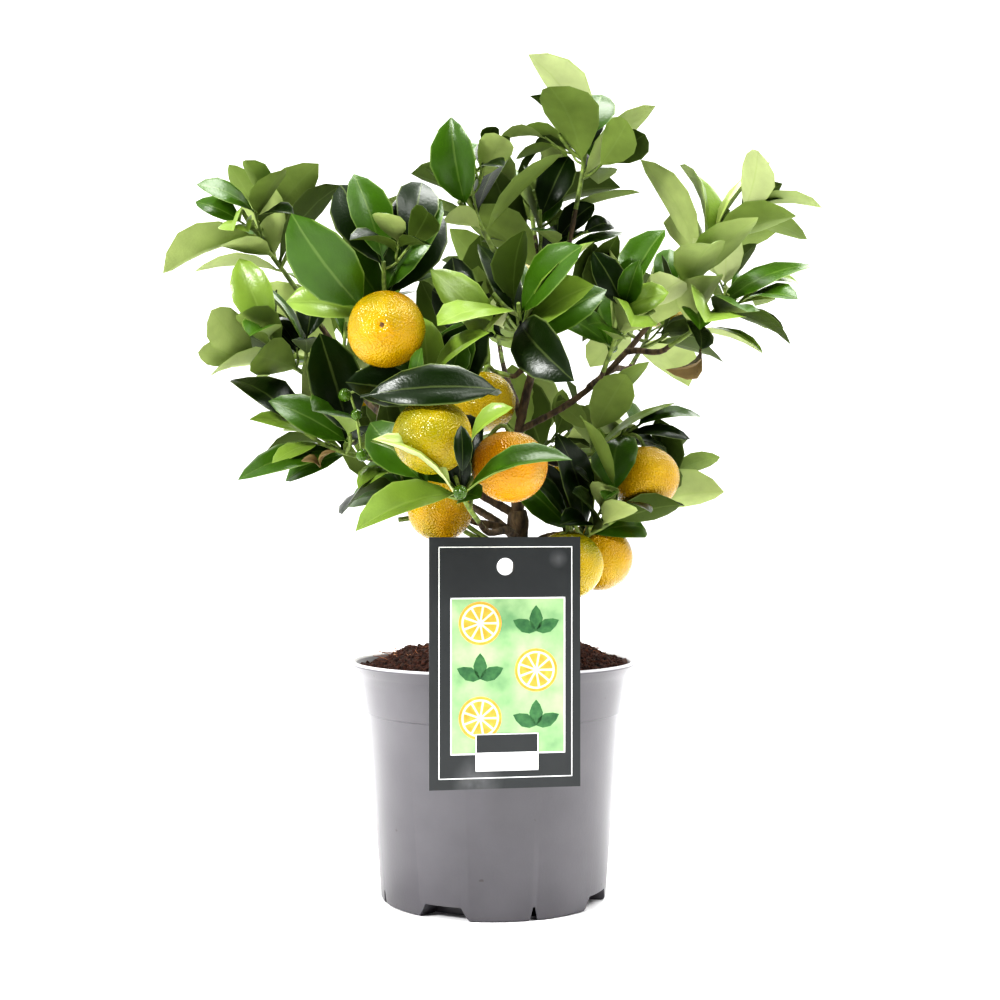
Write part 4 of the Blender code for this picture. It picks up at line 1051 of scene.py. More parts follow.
# %% Leaves whose tips draw the outline
def try_named_leaf(mass, tip, share, roll):
    """One leaf to a given tip, on a side shoot of its own where the stem is too far."""
    base, along, _ = mass.stem.at(share)
    shoot = None
    short = (tip - base).length - LONGEST_LEAF
    if short > 0:
        heading = (tip - base).normalized()
        finish = base + heading * (short + SHOOT_EXTRA)
        launch = (square_to(along, heading) + heading + along * 0.5).normalized()
        shoot = Limb(bent(base, launch, finish, heading, 2), SHOOT_RADIUS, SHOOT_RADIUS)
        base, along, _ = shoot.at(1.0)
        base = base - along * ROOT_SINK
    leaf = blade(mass, base, tip, along, roll)
    if not fits(mass, leaf, named=True):
        return False
    if shoot:
        mass.twigs.append(shoot)
        crowd.add(mass.name, tube(shoot, TWIG_SIDES))
    add_leaf(mass, leaf)
    return True


def grow_named_leaves(mass):
    """Leaves whose tips the outline needs, from whichever node and with the roll that fits."""
    shares = [0.35 + 0.65 * k / (STEM_NODES - 1) for k in range(STEM_NODES)]
    for x, y, z, *rolls in LEAF_TIPS.get(mass.name, ()):
        tip = Vector((x, y, z))
        shares.sort(key=lambda s: abs((mass.stem.at(s)[0] - tip).length - NAMED_LENGTH))
        for share, roll in itertools.product(shares, rolls or NAMED_ROLLS):
            if try_named_leaf(mass, tip, share, roll):
                break


# %% Side shoots and the leaves along them
def try_leaf(mass, limb, share, turn, lengths=LEAF_LENGTHS):
    """One leaf at a node, tried a few times with other turns, lengths and spreads."""
    base, along, _ = limb.at(share)
    if share > 0.99:
        base = base - along * ROOT_SINK
    side = square_to(along, Vector((0.2, -0.3, 1.0)))
    across = along.cross(side)
    for k in range(LEAF_TRIES):
        angle = turn + k * RETRY_TURN + mass.random.uniform(-TURN_JITTER, TURN_JITTER)
        spread = math.radians(mass.random.uniform(*LEAF_SPREAD) + FOOT_SPREAD * (1 - share))
        ray = side * math.cos(angle) + across * math.sin(angle)
        heading = (along * math.cos(spread) + ray * math.sin(spread)).normalized()
        heading = (heading + Vector((0, 0, LEAF_LIFT))).normalized()
        length = mass.random.uniform(*lengths) * (1 - RETRY_SHRINK * k)
        leaf = blade(mass, base, base + heading * length, along)
        if fits(mass, leaf):
            add_leaf(mass, leaf)
            return True
    return False


def grow_shoot(mass, share, turn):
    """One seeded side shoot of the stem, if there is room for it."""
    base, along, _ = mass.stem.at(share)
    side = square_to(along, Vector((math.cos(turn), math.sin(turn), 0.35)))
    heading = (side + along * 0.5 + Vector((0, 0, 0.25))).normalized()
    finish = base + heading * mass.reach * mass.random.uniform(*SHOOT_LENGTHS)
    shoot = Limb(bent(base, side, finish, heading, 2), SHOOT_RADIUS, SHOOT_RADIUS)
    start = Limb([shoot.at(0.3)[0], shoot.at(0.6)[0], finish], SHOOT_RADIUS, SHOOT_RADIUS)
    outside = (finish - mass.centre).length > mass.reach
    if outside or crowd.touches(tube(start, TWIG_SIDES, grow=LEAF_CLEARANCE), mass.name):
        return None
    mass.twigs.append(shoot)
    crowd.add(mass.name, tube(shoot, TWIG_SIDES))
    return shoot


def grow_leaves(mass):
    """Seeded side shoots, and leaves in a spiral along them and along the stem."""
    mass.random = random.Random(f"{mass.name} {mass.seed}")
    rolled = mass.random.uniform(0, 2 * math.pi)
    axes = [(mass.stem, 0.30, 1.0, 8)]
    for k in range(SIDE_SHOOTS):
        shoot = grow_shoot(mass, SHOOT_FOOT + SHOOT_STEP * k, rolled + k * GOLDEN_TURN)
        if shoot:
            axes.append((shoot, 0.55, 1.0, 3))
    places = []
    for limb, low, high, count in axes:
        for k in range(count):
            places.append((limb, low + (high - low) * k / (count - 1)))
    mass.random.shuffle(places)
    for k, (limb, share) in enumerate(places):
        if len(mass.leaves) >= LEAVES_A_MASS:
            break
        try_leaf(mass, limb, share, rolled + k * GOLDEN_TURN)


# %% Grow the crown
limbs, boughs, masses = {"trunk": trunk}, [], []
crowd.add("trunk", tube(trunk, TRUNK_SIDES))
for name, centre, reach, parent, share, seed in MASSES:
    bough, saddle = plan_bough(Vector(centre), reach, limbs[parent], share)
    limbs[name] = bough
    boughs.append((name, bough, limbs[parent].at(share)[0]))
    crowd.add(f"bough {name}", tube(bough, BOUGH_SIDES, saddle))
    masses.append(start_mass(name, Vector(centre), reach, bough, seed))
for mass in masses:
    for centre, diameter in FRUITS.get(mass.name, ()):
        hang_fruit(mass, Vector(centre), diameter)
        facing = Vector((0, 1 if centre[1] > 0.05 else -1, 0))
        windows.append((Vector(centre), diameter / 2 * FRUIT_WINDOW, facing))
        crowd.add(mass.name, fruit_space(Vector(centre), diameter))
    for twig in mass.twigs:
        crowd.add(mass.name, tube(twig, TWIG_SIDES))
for mass in masses:
    grow_named_leaves(mass)
for mass in masses:
    grow_leaves(mass)
print("leaves of the solids' rule:", sum(len(mass.leaves) for mass in masses))

# %% [markdown]
# ## Finer twigs
#
# The solids carry as many leaves as a file of solids can hold. The solids carry fewer leaves than the
# real crown: between its large leaves stand small ones on thin twigs. The same rule goes on with thinner
# twigs and shorter leaves, within a little less than the reach of each mass and below the tips that draw
# the top of the crown, so the outline and the open sky between the masses stay.

# %% Grow the finer twigs
FINE_TWIGS, FINE_RADIUS, FINE_LEAVES = 8, 0.0007, 3
FINE_REACH, FINE_SHARE = (0.010, 0.020), 0.86
FINE_LENGTHS = (0.038, 0.054)
FINE_CEILINGS = {
    "top": 0.424, "left_crest": 0.384, "right_crest": 0.386, "crest_left": 0.398, "back_top": 0.422,
}


def grow_fine_twig(mass, turn):
    """A thin twig on a stem or shoot, with a few small leaves near its end."""
    limb = mass.random.choice([twig for twig in mass.twigs if twig.radii[0] != STALK_RADIUS])
    base, along, _ = limb.at(mass.random.uniform(0.35, 0.95))
    side = square_to(along, Vector((math.cos(turn), math.sin(turn), 0.3)))
    heading = (side + along * 0.6 + Vector((0, 0, 0.3))).normalized()
    finish = base + heading * mass.random.uniform(*FINE_REACH)
    twig = Limb(bent(base, side, finish, heading, 3), FINE_RADIUS, FINE_RADIUS * 0.8)
    free = Limb([twig.at(0.5)[0], finish], FINE_RADIUS, FINE_RADIUS)
    solid = tube(free, TWIG_SIDES, grow=LEAF_CLEARANCE)
    if crowd.touches(solid, mass.name):
        return
    grown = 0
    for k in range(FINE_LEAVES):
        grown += try_leaf(mass, twig, 1.0 - 0.2 * k, turn + k * GOLDEN_TURN, FINE_LENGTHS)
    if grown:
        mass.twigs.append(twig)
        crowd.add(mass.name, solid)


for mass in masses:
    mass.random = random.Random(f"{mass.name} finer")
    mass.reach *= FINE_SHARE
    mass.ceiling = FINE_CEILINGS.get(mass.name, mass.ceiling)
    for k in range(FINE_TWIGS):
        grow_fine_twig(mass, k * GOLDEN_TURN)
print("leaves in all:", sum(len(mass.leaves) for mass in masses))

# %% [markdown]
# ## Small growth
#
# A few things on this plant follow no rule, so they are given one by one: one fruit that has turned its
# navel to the front, green fruitlets on short stalks, two pruned stubs at the foot of the crown, slender
# leaves that cross the front fruit, and dry brown remains of leaves.

# %% A fruit that leans, fruitlets and stubs
LEANING = {("left_front", 0): Vector((0.056, 0.99, -0.02))}
FRUITLETS = (
    ((-0.0714, -0.080, 0.2601), 0.0065), ((-0.0656, -0.082, 0.2505), 0.0055),
    ((-0.0631, -0.080, 0.2311), 0.0060), ((-0.0143, -0.138, 0.2127), 0.0065),
    ((0.1285, 0.000, 0.3480), 0.0055), ((-0.0875, -0.020, 0.3422), 0.0045),
    ((0.0700, 0.095, 0.3000), 0.0060), ((-0.0800, 0.090, 0.2900), 0.0060),
    ((0.0200, 0.110, 0.2600), 0.0055), ((0.0100, 0.070, 0.4000), 0.0045),
)
STUBS = (
    ((0.0110, 0.000, 0.1830), (-0.0030, -0.006, 0.1890), (-0.0220, -0.008, 0.2020),
     (-0.0360, -0.008, 0.2123)),
    ((0.0110, -0.001, 0.1800), (-0.0121, -0.008, 0.1914), (-0.0277, -0.009, 0.2008),
     (-0.0500, -0.009, 0.1993)),
)
STUB_RADIUS, FRUITLET_STALK = 0.0013, 0.0007


def nearest_wood(point):
    """The point on any twig that lies nearest, and its mass."""
    spots = ((twig.at(k / 4)[0], mass) for mass in masses for twig in mass.twigs for k in range(5))
    return min(spots, key=lambda spot: (spot[0] - point).length)


for mass in masses:
    for k, (centre, diameter) in enumerate(mass.fruits):
        if (mass.name, k) in LEANING:
            axis = LEANING[mass.name, k].normalized()
            pole = centre + axis * (diameter * FRUIT_FLATTEN / 2)
            bend = bent(mass.stem.at(0.5)[0], axis, pole, -axis, 4)
            mass.twigs[1 + k] = Limb(bend, STALK_RADIUS, STALK_RADIUS)
fruitlets = []
for centre, diameter in FRUITLETS:
    centre = Vector(centre)
    place, mass = nearest_wood(centre)
    axis = (place - centre).normalized()
    pole = centre + axis * (diameter * 0.4)
    mass.twigs.append(Limb([place, place.lerp(pole, 0.5), pole], FRUITLET_STALK, FRUITLET_STALK))
    fruitlets.append((centre, axis, diameter))
    print("fruitlet", mass.name, "stalk", round((place - centre).length, 4))

# %% [markdown]
# ## Bark
#
# The trunk and the older boughs have grey-brown bark with fine cracks and a knob where the plant was
# pruned. Younger wood is green. A tree of nodes follows each limb's line: it bends the points into a
# smooth curve, sweeps a ring along it whose size is the limb's thickness, and then pushes the surface
# in and out by noise, in proportion to that thickness.


# %% The limb tree
def limb_tree():
    """A skin along each line of the carrier, with a relief in proportion to its thickness."""
    tree, put, end = new_tree("limb", {
        "Finish": ("Material", None), "Sides": ("Int", 12), "Step": ("Float", 0.0015),
        "Relief": ("Float", 0.3), "Grain": ("Float", 400.0), "Cracks": ("Float", 0.35),
    })
    lines = add_node(tree, "GeometryNodeMeshToCurve", Mesh=put["Geometry"]).outputs[0]
    smooth = add_node(tree, "GeometryNodeCurveSplineType", {"spline_type": "CATMULL_ROM"}, Curve=lines)
    fine = add_node(
        tree, "GeometryNodeResampleCurve", {"mode": "LENGTH"}, Curve=smooth.outputs[0], Length=put["Step"]
    )
    thickness = read(tree, "thickness", "FLOAT")
    sized = add_node(tree, "GeometryNodeSetCurveRadius", Curve=fine.outputs[0], Radius=thickness)
    ring = add_node(tree, "GeometryNodeCurvePrimitiveCircle", Resolution=put["Sides"], Radius=1.0)
    skin = add_node(
        tree, "GeometryNodeCurveToMesh", Curve=sized.outputs[0], Profile_Curve=ring.outputs[0],
        Scale=thickness, Fill_Caps=True,
    )
    tall = add_node(tree, "ShaderNodeCombineXYZ", X=1.0, Y=1.0, Z=put["Cracks"]).outputs[0]
    place = add_node(tree, "GeometryNodeInputPosition").outputs[0]
    bark = clouds(tree, reckon(tree, "MULTIPLY", place, tall, kind=VECTORS), put["Grain"], 3.0)
    depth = reckon(tree, "MULTIPLY", reckon(tree, "SUBTRACT", bark, 0.5), put["Relief"])
    outward = add_node(tree, "GeometryNodeInputNormal").outputs[0]
    scaled = reckon(tree, "MULTIPLY", depth, thickness)
    push = add_node(tree, VECTORS, {"operation": "SCALE"}, outward, Scale=scaled).outputs[0]
    moved = add_node(tree, "GeometryNodeSetPosition", Geometry=skin.outputs[0], Offset=push).outputs[0]
    connect(tree, finished(tree, realized(tree, moved), put["Finish"]), end)
    return tree


def line_carrier(runs):
    """A carrier of lines: each run is a list of points with a radius at each."""
    verts, edges, radii = [], [], []
    for points, thick in runs:
        edges += [(len(verts) + k, len(verts) + k + 1) for k in range(len(points) - 1)]
        verts += [tuple(p) for p in points]
        radii += thick
    mesh = bpy.data.meshes.new("lines")
    mesh.from_pydata(verts, edges, [])
    mesh.attributes.new("thickness", "FLOAT", "POINT").data.foreach_set("value", radii)
    return into_scene("lines", mesh)


along_limbs = limb_tree()
print("tree", along_limbs.name, len(along_limbs.nodes), "nodes")

# %% Trunk and boughs in bark
bark_finish = mottled(
    "bark", paint(46, 36, 26), paint(98, 82, 60), 0.85, 330, relief=(900, 0.0005), contrast=3.0,
    stretch=(1, 1, 0.4),
)
bough_runs = [(trunk.points, trunk.radii)]
for name, bough, foot in boughs:
    bough_runs.append(([foot] + bough.points, [bough.radii[0]] + bough.radii))
bark = run_tree(
    line_carrier(bough_runs), along_limbs, "bark", finish=bark_finish, sides=16, step=0.0012,
    relief=0.55, grain=420.0, cracks=0.35,
)
bark.data.shade_smooth()
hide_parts("trunk", *[f"bough_{name}" for name, bough, foot in boughs])
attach(bark, "root")

# %% Green twigs
twig_finish = mottled(
    "green twig", paint(70, 84, 38), paint(128, 146, 70), 0.6, 300, relief=(1200, 0.0002), contrast=2.5
)
twig_runs = []
for mass in masses:
    twig_runs += [(twig.points, list(twig.radii)) for twig in mass.twigs]
    mass_foot = mass.bough.points[-2:] + mass.stem.points[:2]
    twig_runs.append((mass_foot, [BOUGH_TIP_RADIUS] * 3 + [STEM_RADIUS]))
for stub in STUBS:
    twig_runs.append(([Vector(point) for point in stub], [STUB_RADIUS] * len(stub)))
twigs = run_tree(
    line_carrier(twig_runs), along_limbs, "twigs", finish=twig_finish, sides=8, step=0.0022,
    relief=0.35, grain=500.0, cracks=1.0,
)
twigs.data.shade_smooth()
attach(twigs, "root")

# %% [markdown]
# ## Leaves
#
# A calamondin leaf is a pointed oval on a short stalk, glossy and dark above, matt and paler below,
# folded a little along its midrib. It is made as a thin closed body of 43 faces: five columns of
# points above and a rib below on each of seven stations. Fourteen such shapes with other folds,
# arches and waves are enough, because each leaf also has its own length, width and turn.

# %% Leaf shapes
LEAF_STATIONS = (
    (0.00, 0.022), (0.08, 0.028), (0.16, 0.190), (0.32, 0.400),
    (0.53, 0.500), (0.73, 0.445), (0.90, 0.245),
)
LEAF_SHAPES = 14
RIB_THICK, STALK_THICK = 0.012, 0.022
ACROSS = (-1.0, -0.5, 0.0, 0.5, 1.0)


def leaf_shape(seed):
    """Verts, faces, UVs and which faces are the underside, of a leaf 1 m long and 1 m wide."""
    rng = random.Random(f"leaf {seed}")
    arch = LEAF_DROOP * rng.uniform(0.5, 1.4)
    fold, bulge = rng.uniform(0.05, 0.50), rng.uniform(0.09, 0.22)
    wave, phase = rng.uniform(0.0, 0.012), rng.uniform(0, 6.28)
    twist, hook = rng.uniform(-0.35, 0.35), rng.uniform(-0.02, 0.07)
    verts, spots = [], []
    for share, half in LEAF_STATIONS:
        lift = 4 * arch * share * (1 - share) - hook * share**4
        turn = twist * share
        reach = half * LEAF_WIDTH
        for x in ACROSS:
            cup = reach * (fold * abs(x) + bulge * (1 - (2 * abs(x) - 1) ** 2))
            ripple = wave * math.sin(9 * share + phase + (1.7 if x > 0 else 0)) * x * x
            rise = lift + cup + ripple + x * reach * math.sin(turn)
            verts.append((x * half * math.cos(turn), share, rise))
            spots.append((0.5 + 0.5 * x, share))
        verts.append((0.0, share, lift - (RIB_THICK if half > 0.1 else STALK_THICK)))
        spots.append((0.5, share))
    verts.append((0.0, 1.0, -hook))
    spots.append((0.5, 1.0))
    count, tip = len(ACROSS) + 1, len(verts) - 1
    last = tip - count
    faces = [tuple(reversed(range(count)))] + bridged(count, len(LEAF_STATIONS))
    faces += [(last + j, last + (j + 1) % count, tip) for j in range(count)]
    under = [True] + [j >= len(ACROSS) - 1 for j in range(count)] * len(LEAF_STATIONS)
    return verts, faces, spots, under


leaf_shapes = shape_set("leaf_shape", [leaf_shape(seed) for seed in range(LEAF_SHAPES)], 50)
print(len(leaf_shapes.objects), "leaf shapes of", len(leaf_shape(0)[1]), "faces")


# %% The sowing tree
def sowing_tree():
    """One shape on each point of the carrier, turned and sized by the point's attributes."""
    tree, put, end = new_tree("sow", {
        "Shapes": ("Collection", None), "Finish": ("Material", None), "Under Finish": ("Material", None),
    })
    turn = add_node(tree, "FunctionNodeEulerToRotation", Euler=read(tree, "turn", "FLOAT_VECTOR"))
    real = on_points(
        tree, put, put["Geometry"], Instance_Index=read(tree, "pick", "INT"), Rotation=turn.outputs[0],
        Scale=read(tree, "size", "FLOAT_VECTOR"),
    )
    over = finished(tree, real, put["Finish"])
    below = finished(tree, over, put["Under Finish"], read(tree, "under", "BOOLEAN"))
    connect(tree, below, end)
    return tree


def sown(name, points, shapes, finish, under=None):
    """One piece with a shape on each point, which is (place, turn matrix, size, pick)."""
    mesh = bpy.data.meshes.new("points")
    mesh.from_pydata([tuple(point[0]) for point in points], [], [])
    turns, sizes, picks = [], [], []
    for _, turn, size, pick in points:
        turns += turn.to_euler()[:]
        sizes += size
        picks.append(pick)
    mesh.attributes.new("turn", "FLOAT_VECTOR", "POINT").data.foreach_set("vector", turns)
    mesh.attributes.new("size", "FLOAT_VECTOR", "POINT").data.foreach_set("vector", sizes)
    mesh.attributes.new("pick", "INT", "POINT").data.foreach_set("value", picks)
    carrier = into_scene("points", mesh)
    return run_tree(carrier, sow, name, shapes=shapes, finish=finish, under_finish=under or finish)


def leaf_point(base, tip, facing, width, shape, tall=1.0):
    """The point that a leaf is sown on. tall lifts its folds and waves."""
    base, tip = Vector(base), Vector(tip)
    length = (tip - base).length
    along = (tip - base) / length
    up = square_to(along, Vector(facing))
    turn = Matrix((along.cross(up), along, up)).transposed()
    return base, turn, (width, length, length * tall), shape


sow = sowing_tree()
print("tree", sow.name, len(sow.nodes), "nodes")

# %% [markdown]
# Leaf colour goes by age and by painted light and shade. Old leaves inside are a deep blue-green, those in
# the sun are mid green, and the young tips are a light yellow-green; the darker tints also stand for
# painted shade, dealt more to the masses inside and low in the crown, and the lighter ones for painted
# light, dealt more to the crests. Each mass has its own shares of these tints to deal from, and the leaves
# that show most are given theirs by letter. The upper side has a waxy gloss, and the midrib and the edge
# show as paler lines, read from the leaf's own UV map. A little light passes through a leaf, so a share of
# the shader is translucent.

# %% Leaf finishes
LEAF_GLOSS = 0.32
MIDRIB, MIDRIB_PALE = (0.012, 0.035), 0.22
LEAF_EDGE, EDGE_PALE = (0.455, 0.495), 0.45


def leaf_finish(name, colour, rib, rough, glow):
    """A leaf surface: its colour with faint clouds, a paler midrib and edge, and light through it."""
    low, high = (tuple(c * share for c in colour) for share in (0.86, 1.12))
    made = mottled(name, low, high, rough, 90, relief=(700, 0.00012))
    tree, shader = made.node_tree, shader_of(made)
    connect(tree, LEAF_GLOSS, shader.inputs["Specular IOR Level"])
    spot = add_node(tree, "ShaderNodeUVMap", {"uv_map": "UVMap"}).outputs[0]
    across = add_node(tree, "ShaderNodeSeparateXYZ", (), spot).outputs["X"]
    away = reckon(tree, "ABSOLUTE", reckon(tree, "SUBTRACT", across, 0.5))
    line = ranged(tree, away, *MIDRIB, MIDRIB_PALE, 0.0)
    edge = ranged(tree, away, *LEAF_EDGE, 0.0, EDGE_PALE)
    colour = retint(made, reckon(tree, "MAXIMUM", line, edge), rib)
    through = add_node(tree, "ShaderNodeBsdfTranslucent", Color=colour)
    both = add_node(tree, "ShaderNodeMixShader", (), glow, shader.outputs[0], through.outputs[0])
    connect(tree, both.outputs[0], tree.nodes["Material Output"].inputs["Surface"])
    return made

# Tints of one leaf from dark to light: partly by age, partly painted shade and painted light.
TINTS = {
    "deep": (paint(17, 35, 1), paint(76, 94, 32)),
    "mid": (paint(58, 90, 14), paint(132, 151, 78)),
    "sunny": (paint(118, 141, 60), paint(174, 188, 122)),
    "young": (paint(156, 171, 100), paint(197, 206, 154)),
}
finishes = {}
for tint, (above, below) in TINTS.items():
    rib = tuple(0.5 * a + 0.5 * b for a, b in zip(above, paint(190, 210, 130)))
    finishes[tint] = (
        leaf_finish(f"leaf upper {tint}", above, rib, 0.30, 0.14),
        leaf_finish(f"leaf under {tint}", below, rib, 0.60, 0.28),
    )
print("leaf finishes", 2 * len(finishes))

# %% Deal the tints and grow the leaves
# Shares of deep, mid, sunny and young for each mass: lighter at the crests and the right flank as painted
# light, darker elsewhere as painted shade.
SHARES = {
    "top": (3, 4, 3, 1), "right_crest": (1, 3, 4, 3), "right_flank": (2, 3, 4, 2),
    "right_inner": (4, 3, 3, 1), "left_crest": (3, 4, 3, 2), "front_foot": (3, 3, 3, 1),
    "left_foot": (4, 3, 2, 0), "right_foot": (4, 3, 2, 1), "centre": (4, 3, 3, 1),
}
PLAIN_SHARE = (5, 3, 2, 0)
# Tints of the first leaves of the masses that show most, each by its first letter: darker or lighter
# partly by age and partly as painted shade and painted light.
SHOWN = {
    "top": "ysmdmmdmd", "left_crest": "smssmdmss", "left_front": "mdmmssddm", "crest_left": "sdsmmdmdd",
    "centre_upper": "mdmmmddmd", "centre": "ssdsdsmmd", "right_crest": "sysymsmsm",
    "right_flank": "mssssssmm", "right_inner": "sdsdmmsmm", "left_flank": "sdmmsmddm",
    "left_foot": "msdmdmsdm", "centre_low": "dmmsdsdmm", "front_foot": "ssmddmmmm",
    "right_foot": "smmmddmmm", "right_low": "mdsdmdddm", "right_side": "sdmddddmd",
    "inner": "ddmmsdmmm", "low_left": "mddmmdmdm",
}
letters = {tint[0]: tint for tint in TINTS}
dealt = {tint: [] for tint in TINTS}
for mass in masses:
    deck = random.Random(f"{mass.name} tint")
    shown = SHOWN.get(mass.name, "")
    for k, leaf in enumerate(mass.leaves):
        tint = deck.choices(list(TINTS), SHARES.get(mass.name, PLAIN_SHARE))[0]
        if k < len(shown):
            tint = letters[shown[k]]
        dealt[tint].append(leaf_point(*leaf, deck.randrange(LEAF_SHAPES)))
# Leaves given one by one: tint, base, tip, facing, width, shape.
SET_LEAVES = (
    ("mid", (-0.0131, -0.130, 0.2128), (0.0358, -0.132, 0.2285), (0.1, -0.38, 0.92), 0.017, 2),
    ("deep", (-0.0132, -0.148, 0.2201), (-0.0137, -0.147, 0.2422), (0.3, -0.95, 0.1), 0.009, 5),
    ("deep", (-0.0600, -0.128, 0.2560), (0.0021, -0.134, 0.2590), (0.0, -0.92, 0.38), 0.023, 1),
    ("young", (-0.0166, -0.136, 0.2127), (-0.0536, -0.142, 0.2359), (0.2, -0.45, 0.88), 0.014, 3),
    ("mid", (0.0440, -0.048, 0.2521), (0.0605, -0.052, 0.2175), (0.7, 0.50, 0.40), 0.013, 4),
    ("sunny", (-0.0100, -0.140, 0.2350), (0.0090, -0.150, 0.2500), (-0.2, -0.60, 0.78), 0.013, 7),
)
for tint, *leaf in SET_LEAVES:
    dealt[tint].append(leaf_point(*leaf))
for tint, points in dealt.items():
    piece = sown(f"leaves_{tint}", points, leaf_shapes, *finishes[tint])
    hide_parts(*[f"foliage_{mass.name}" for mass in masses])
    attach(piece, "root")

# %% Dry leaves
DRY_LEAVES = (
    ((-0.0845, -0.070, 0.2255), (-0.0760, -0.076, 0.2330), (0.2, -0.6, 0.8), 0.006, 1),
    ((-0.0845, -0.070, 0.2255), (-0.0930, -0.074, 0.2290), (0.2, -0.6, 0.8), 0.005, 6),
    ((-0.0985, -0.022, 0.3400), (-0.0920, -0.026, 0.3490), (0.3, -0.8, 0.3), 0.005, 7),
    ((0.1270, -0.002, 0.3500), (0.1300, -0.006, 0.3580), (0.3, -0.8, 0.3), 0.004, 9),
    ((0.1050, -0.046, 0.2860), (0.0860, -0.052, 0.2750), (0.0, -0.7, -0.7), 0.011, 3),
    ((0.0203, -0.060, 0.2960), (0.0220, -0.066, 0.2860), (0.3, -0.9, 0.2), 0.005, 8),
)
DRY_CURL = 2.2
dry = leaf_finish("dry leaf", paint(104, 88, 54), paint(152, 132, 92), 0.7, 0.1)
piece = sown("leaves_dry", [leaf_point(*leaf, DRY_CURL) for leaf in DRY_LEAVES], leaf_shapes, dry)
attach(piece, "root")

# %% [markdown]
# ## Fruit
#
# Ripe calamondins are a little flattened, yellow-orange with greener patches where they were in the
# shade, and their peel has fine oil pores. The shape is a turned profile with a hollow at the stalk
# and a small navel below, pushed slightly out of round. Geometry Nodes sow it, as they do the leaves.

# %% Fruit shapes
PEEL_GLOSS, PEEL_ROUGH, PEEL_GRAIN = 0.36, 0.17, 46
GREEN_GRAIN, GREEN_SHARE = 26, 0.85
PORE_GRAIN, LUMP_GRAIN, PEEL_DEPTH, PEEL_PRESS = 1000, 150, 0.0007, 0.6


def fruit_shape(seed, segments=48, rings=32):
    """Verts and faces of a fruit 1 m across, with its stalk end up."""
    profile = []
    for k in range(rings + 1):
        angle = math.pi * (k / rings - 0.5)
        radius = 0.0 if k in (0, rings) else 0.5 * math.cos(angle)
        height = 0.5 * FRUIT_FLATTEN * math.sin(angle)
        height -= 0.035 * math.exp(-((radius / 0.09) ** 2)) * (1 if angle > 0 else 0)
        height += 0.028 * math.exp(-((radius / 0.05) ** 2)) * (1 if angle < 0 else 0)
        profile.append((radius, height))
    verts, faces = turned(profile, segments)
    own = Vector((seed * 7.3, 0, 0))
    return [v * (1 + 0.030 * noise.noise(v * 3.1 + own)) for v in map(Vector, verts)], faces


def peel_finish(name, low, high, green, amount):
    """Peel: two golds in clouds, greener patches in wider ones, and oil pores as a bump."""
    made = mottled(name, low, high, PEEL_ROUGH, PEEL_GRAIN, contrast=2.6)
    tree = made.node_tree
    connect(tree, PEEL_GLOSS, shader_of(made).inputs["Specular IOR Level"])
    place = object_place(tree)
    patch = clouds(tree, place, GREEN_GRAIN, 3.0)
    cut = 0.3 * amount
    retint(made, ranged(tree, patch, 0.62 - cut, 0.80 - cut, 0.0, GREEN_SHARE), green)
    pores = add_node(tree, "ShaderNodeTexVoronoi", Vector=place, Scale=PORE_GRAIN).outputs["Distance"]
    height = reckon(tree, "ADD", pores, clouds(tree, place, LUMP_GRAIN))
    press(made, height, PEEL_DEPTH, PEEL_PRESS)
    return made


PEELS = {
    "orange": (paint(164, 108, 0), paint(188, 140, 1), paint(132, 114, 2), 0.34),
    "golden": (paint(158, 118, 0), paint(182, 148, 1), paint(116, 112, 2), 0.52),
    "turning": (paint(156, 132, 1), paint(180, 154, 2), paint(110, 110, 3), 0.42),
    "green": (paint(44, 72, 10), paint(70, 98, 20), paint(38, 64, 8), 0.40),
}
peels = {stage: peel_finish(f"peel {stage}", *numbers) for stage, numbers in PEELS.items()}
fruit_shapes = shape_set("fruit", [fruit_shape(k) for k in range(4)])
print("fruit shape", len(fruit_shape(0)[1]), "faces, finishes", len(peels))

# %% Hang the fruit
STAGE_OF = {
    "left_front": ("golden",), "front_foot": ("turning", "orange"), "inner": ("turning",),
    "low_left": ("golden",), "right_foot": ("golden",), "right_low": ("golden", "turning"),
    "back_right": ("turning",), "back_foot": ("orange",),
}
hung = {stage: [] for stage in PEELS}
caps, scars = [], []
MOST_LEAN, CAP_SIZE, SCAR_SIZE, BROAD_SCAR = 0.16, 0.20, 0.085, 2.0
CAP_RISE, SCAR_DROP, GREEN_CAP_RISE, GREEN_CAP_SIZE = 0.445, 0.441, 0.42, 0.62


def upright(axis):
    """The turn that brings +Z to an axis."""
    return axis.to_track_quat("Z", "Y").to_matrix()


for mass in masses:
    for k, (centre, diameter) in enumerate(mass.fruits):
        rng = random.Random(f"{mass.name} fruit {k}")
        lean = Vector((rng.uniform(-MOST_LEAN, MOST_LEAN), rng.uniform(-MOST_LEAN, MOST_LEAN), 1.0))
        axis = LEANING.get((mass.name, k), lean).normalized()
        turn = upright(axis) @ Matrix.Rotation(rng.uniform(0, 6.28), 3, "Z")
        stage = STAGE_OF.get(mass.name, ("golden",))[k]
        scar = diameter * SCAR_SIZE * (BROAD_SCAR if (mass.name, k) in LEANING else 1.0)
        hung[stage].append((centre, turn, (diameter,) * 3, rng.randrange(4)))
        above, below = centre + axis * diameter * CAP_RISE, centre - axis * diameter * SCAR_DROP
        caps.append((above, turn, (diameter * CAP_SIZE,) * 3, rng.randrange(3)))
        scars.append((below, turn, (scar,) * 3, rng.randrange(3)))
for centre, axis, diameter in fruitlets:
    turn, above = upright(axis), centre + axis * diameter * GREEN_CAP_RISE
    hung["green"].append((centre, turn, (diameter, diameter, diameter * 1.1), 0))
    caps.append((above, turn, (diameter * GREEN_CAP_SIZE,) * 3, 1))
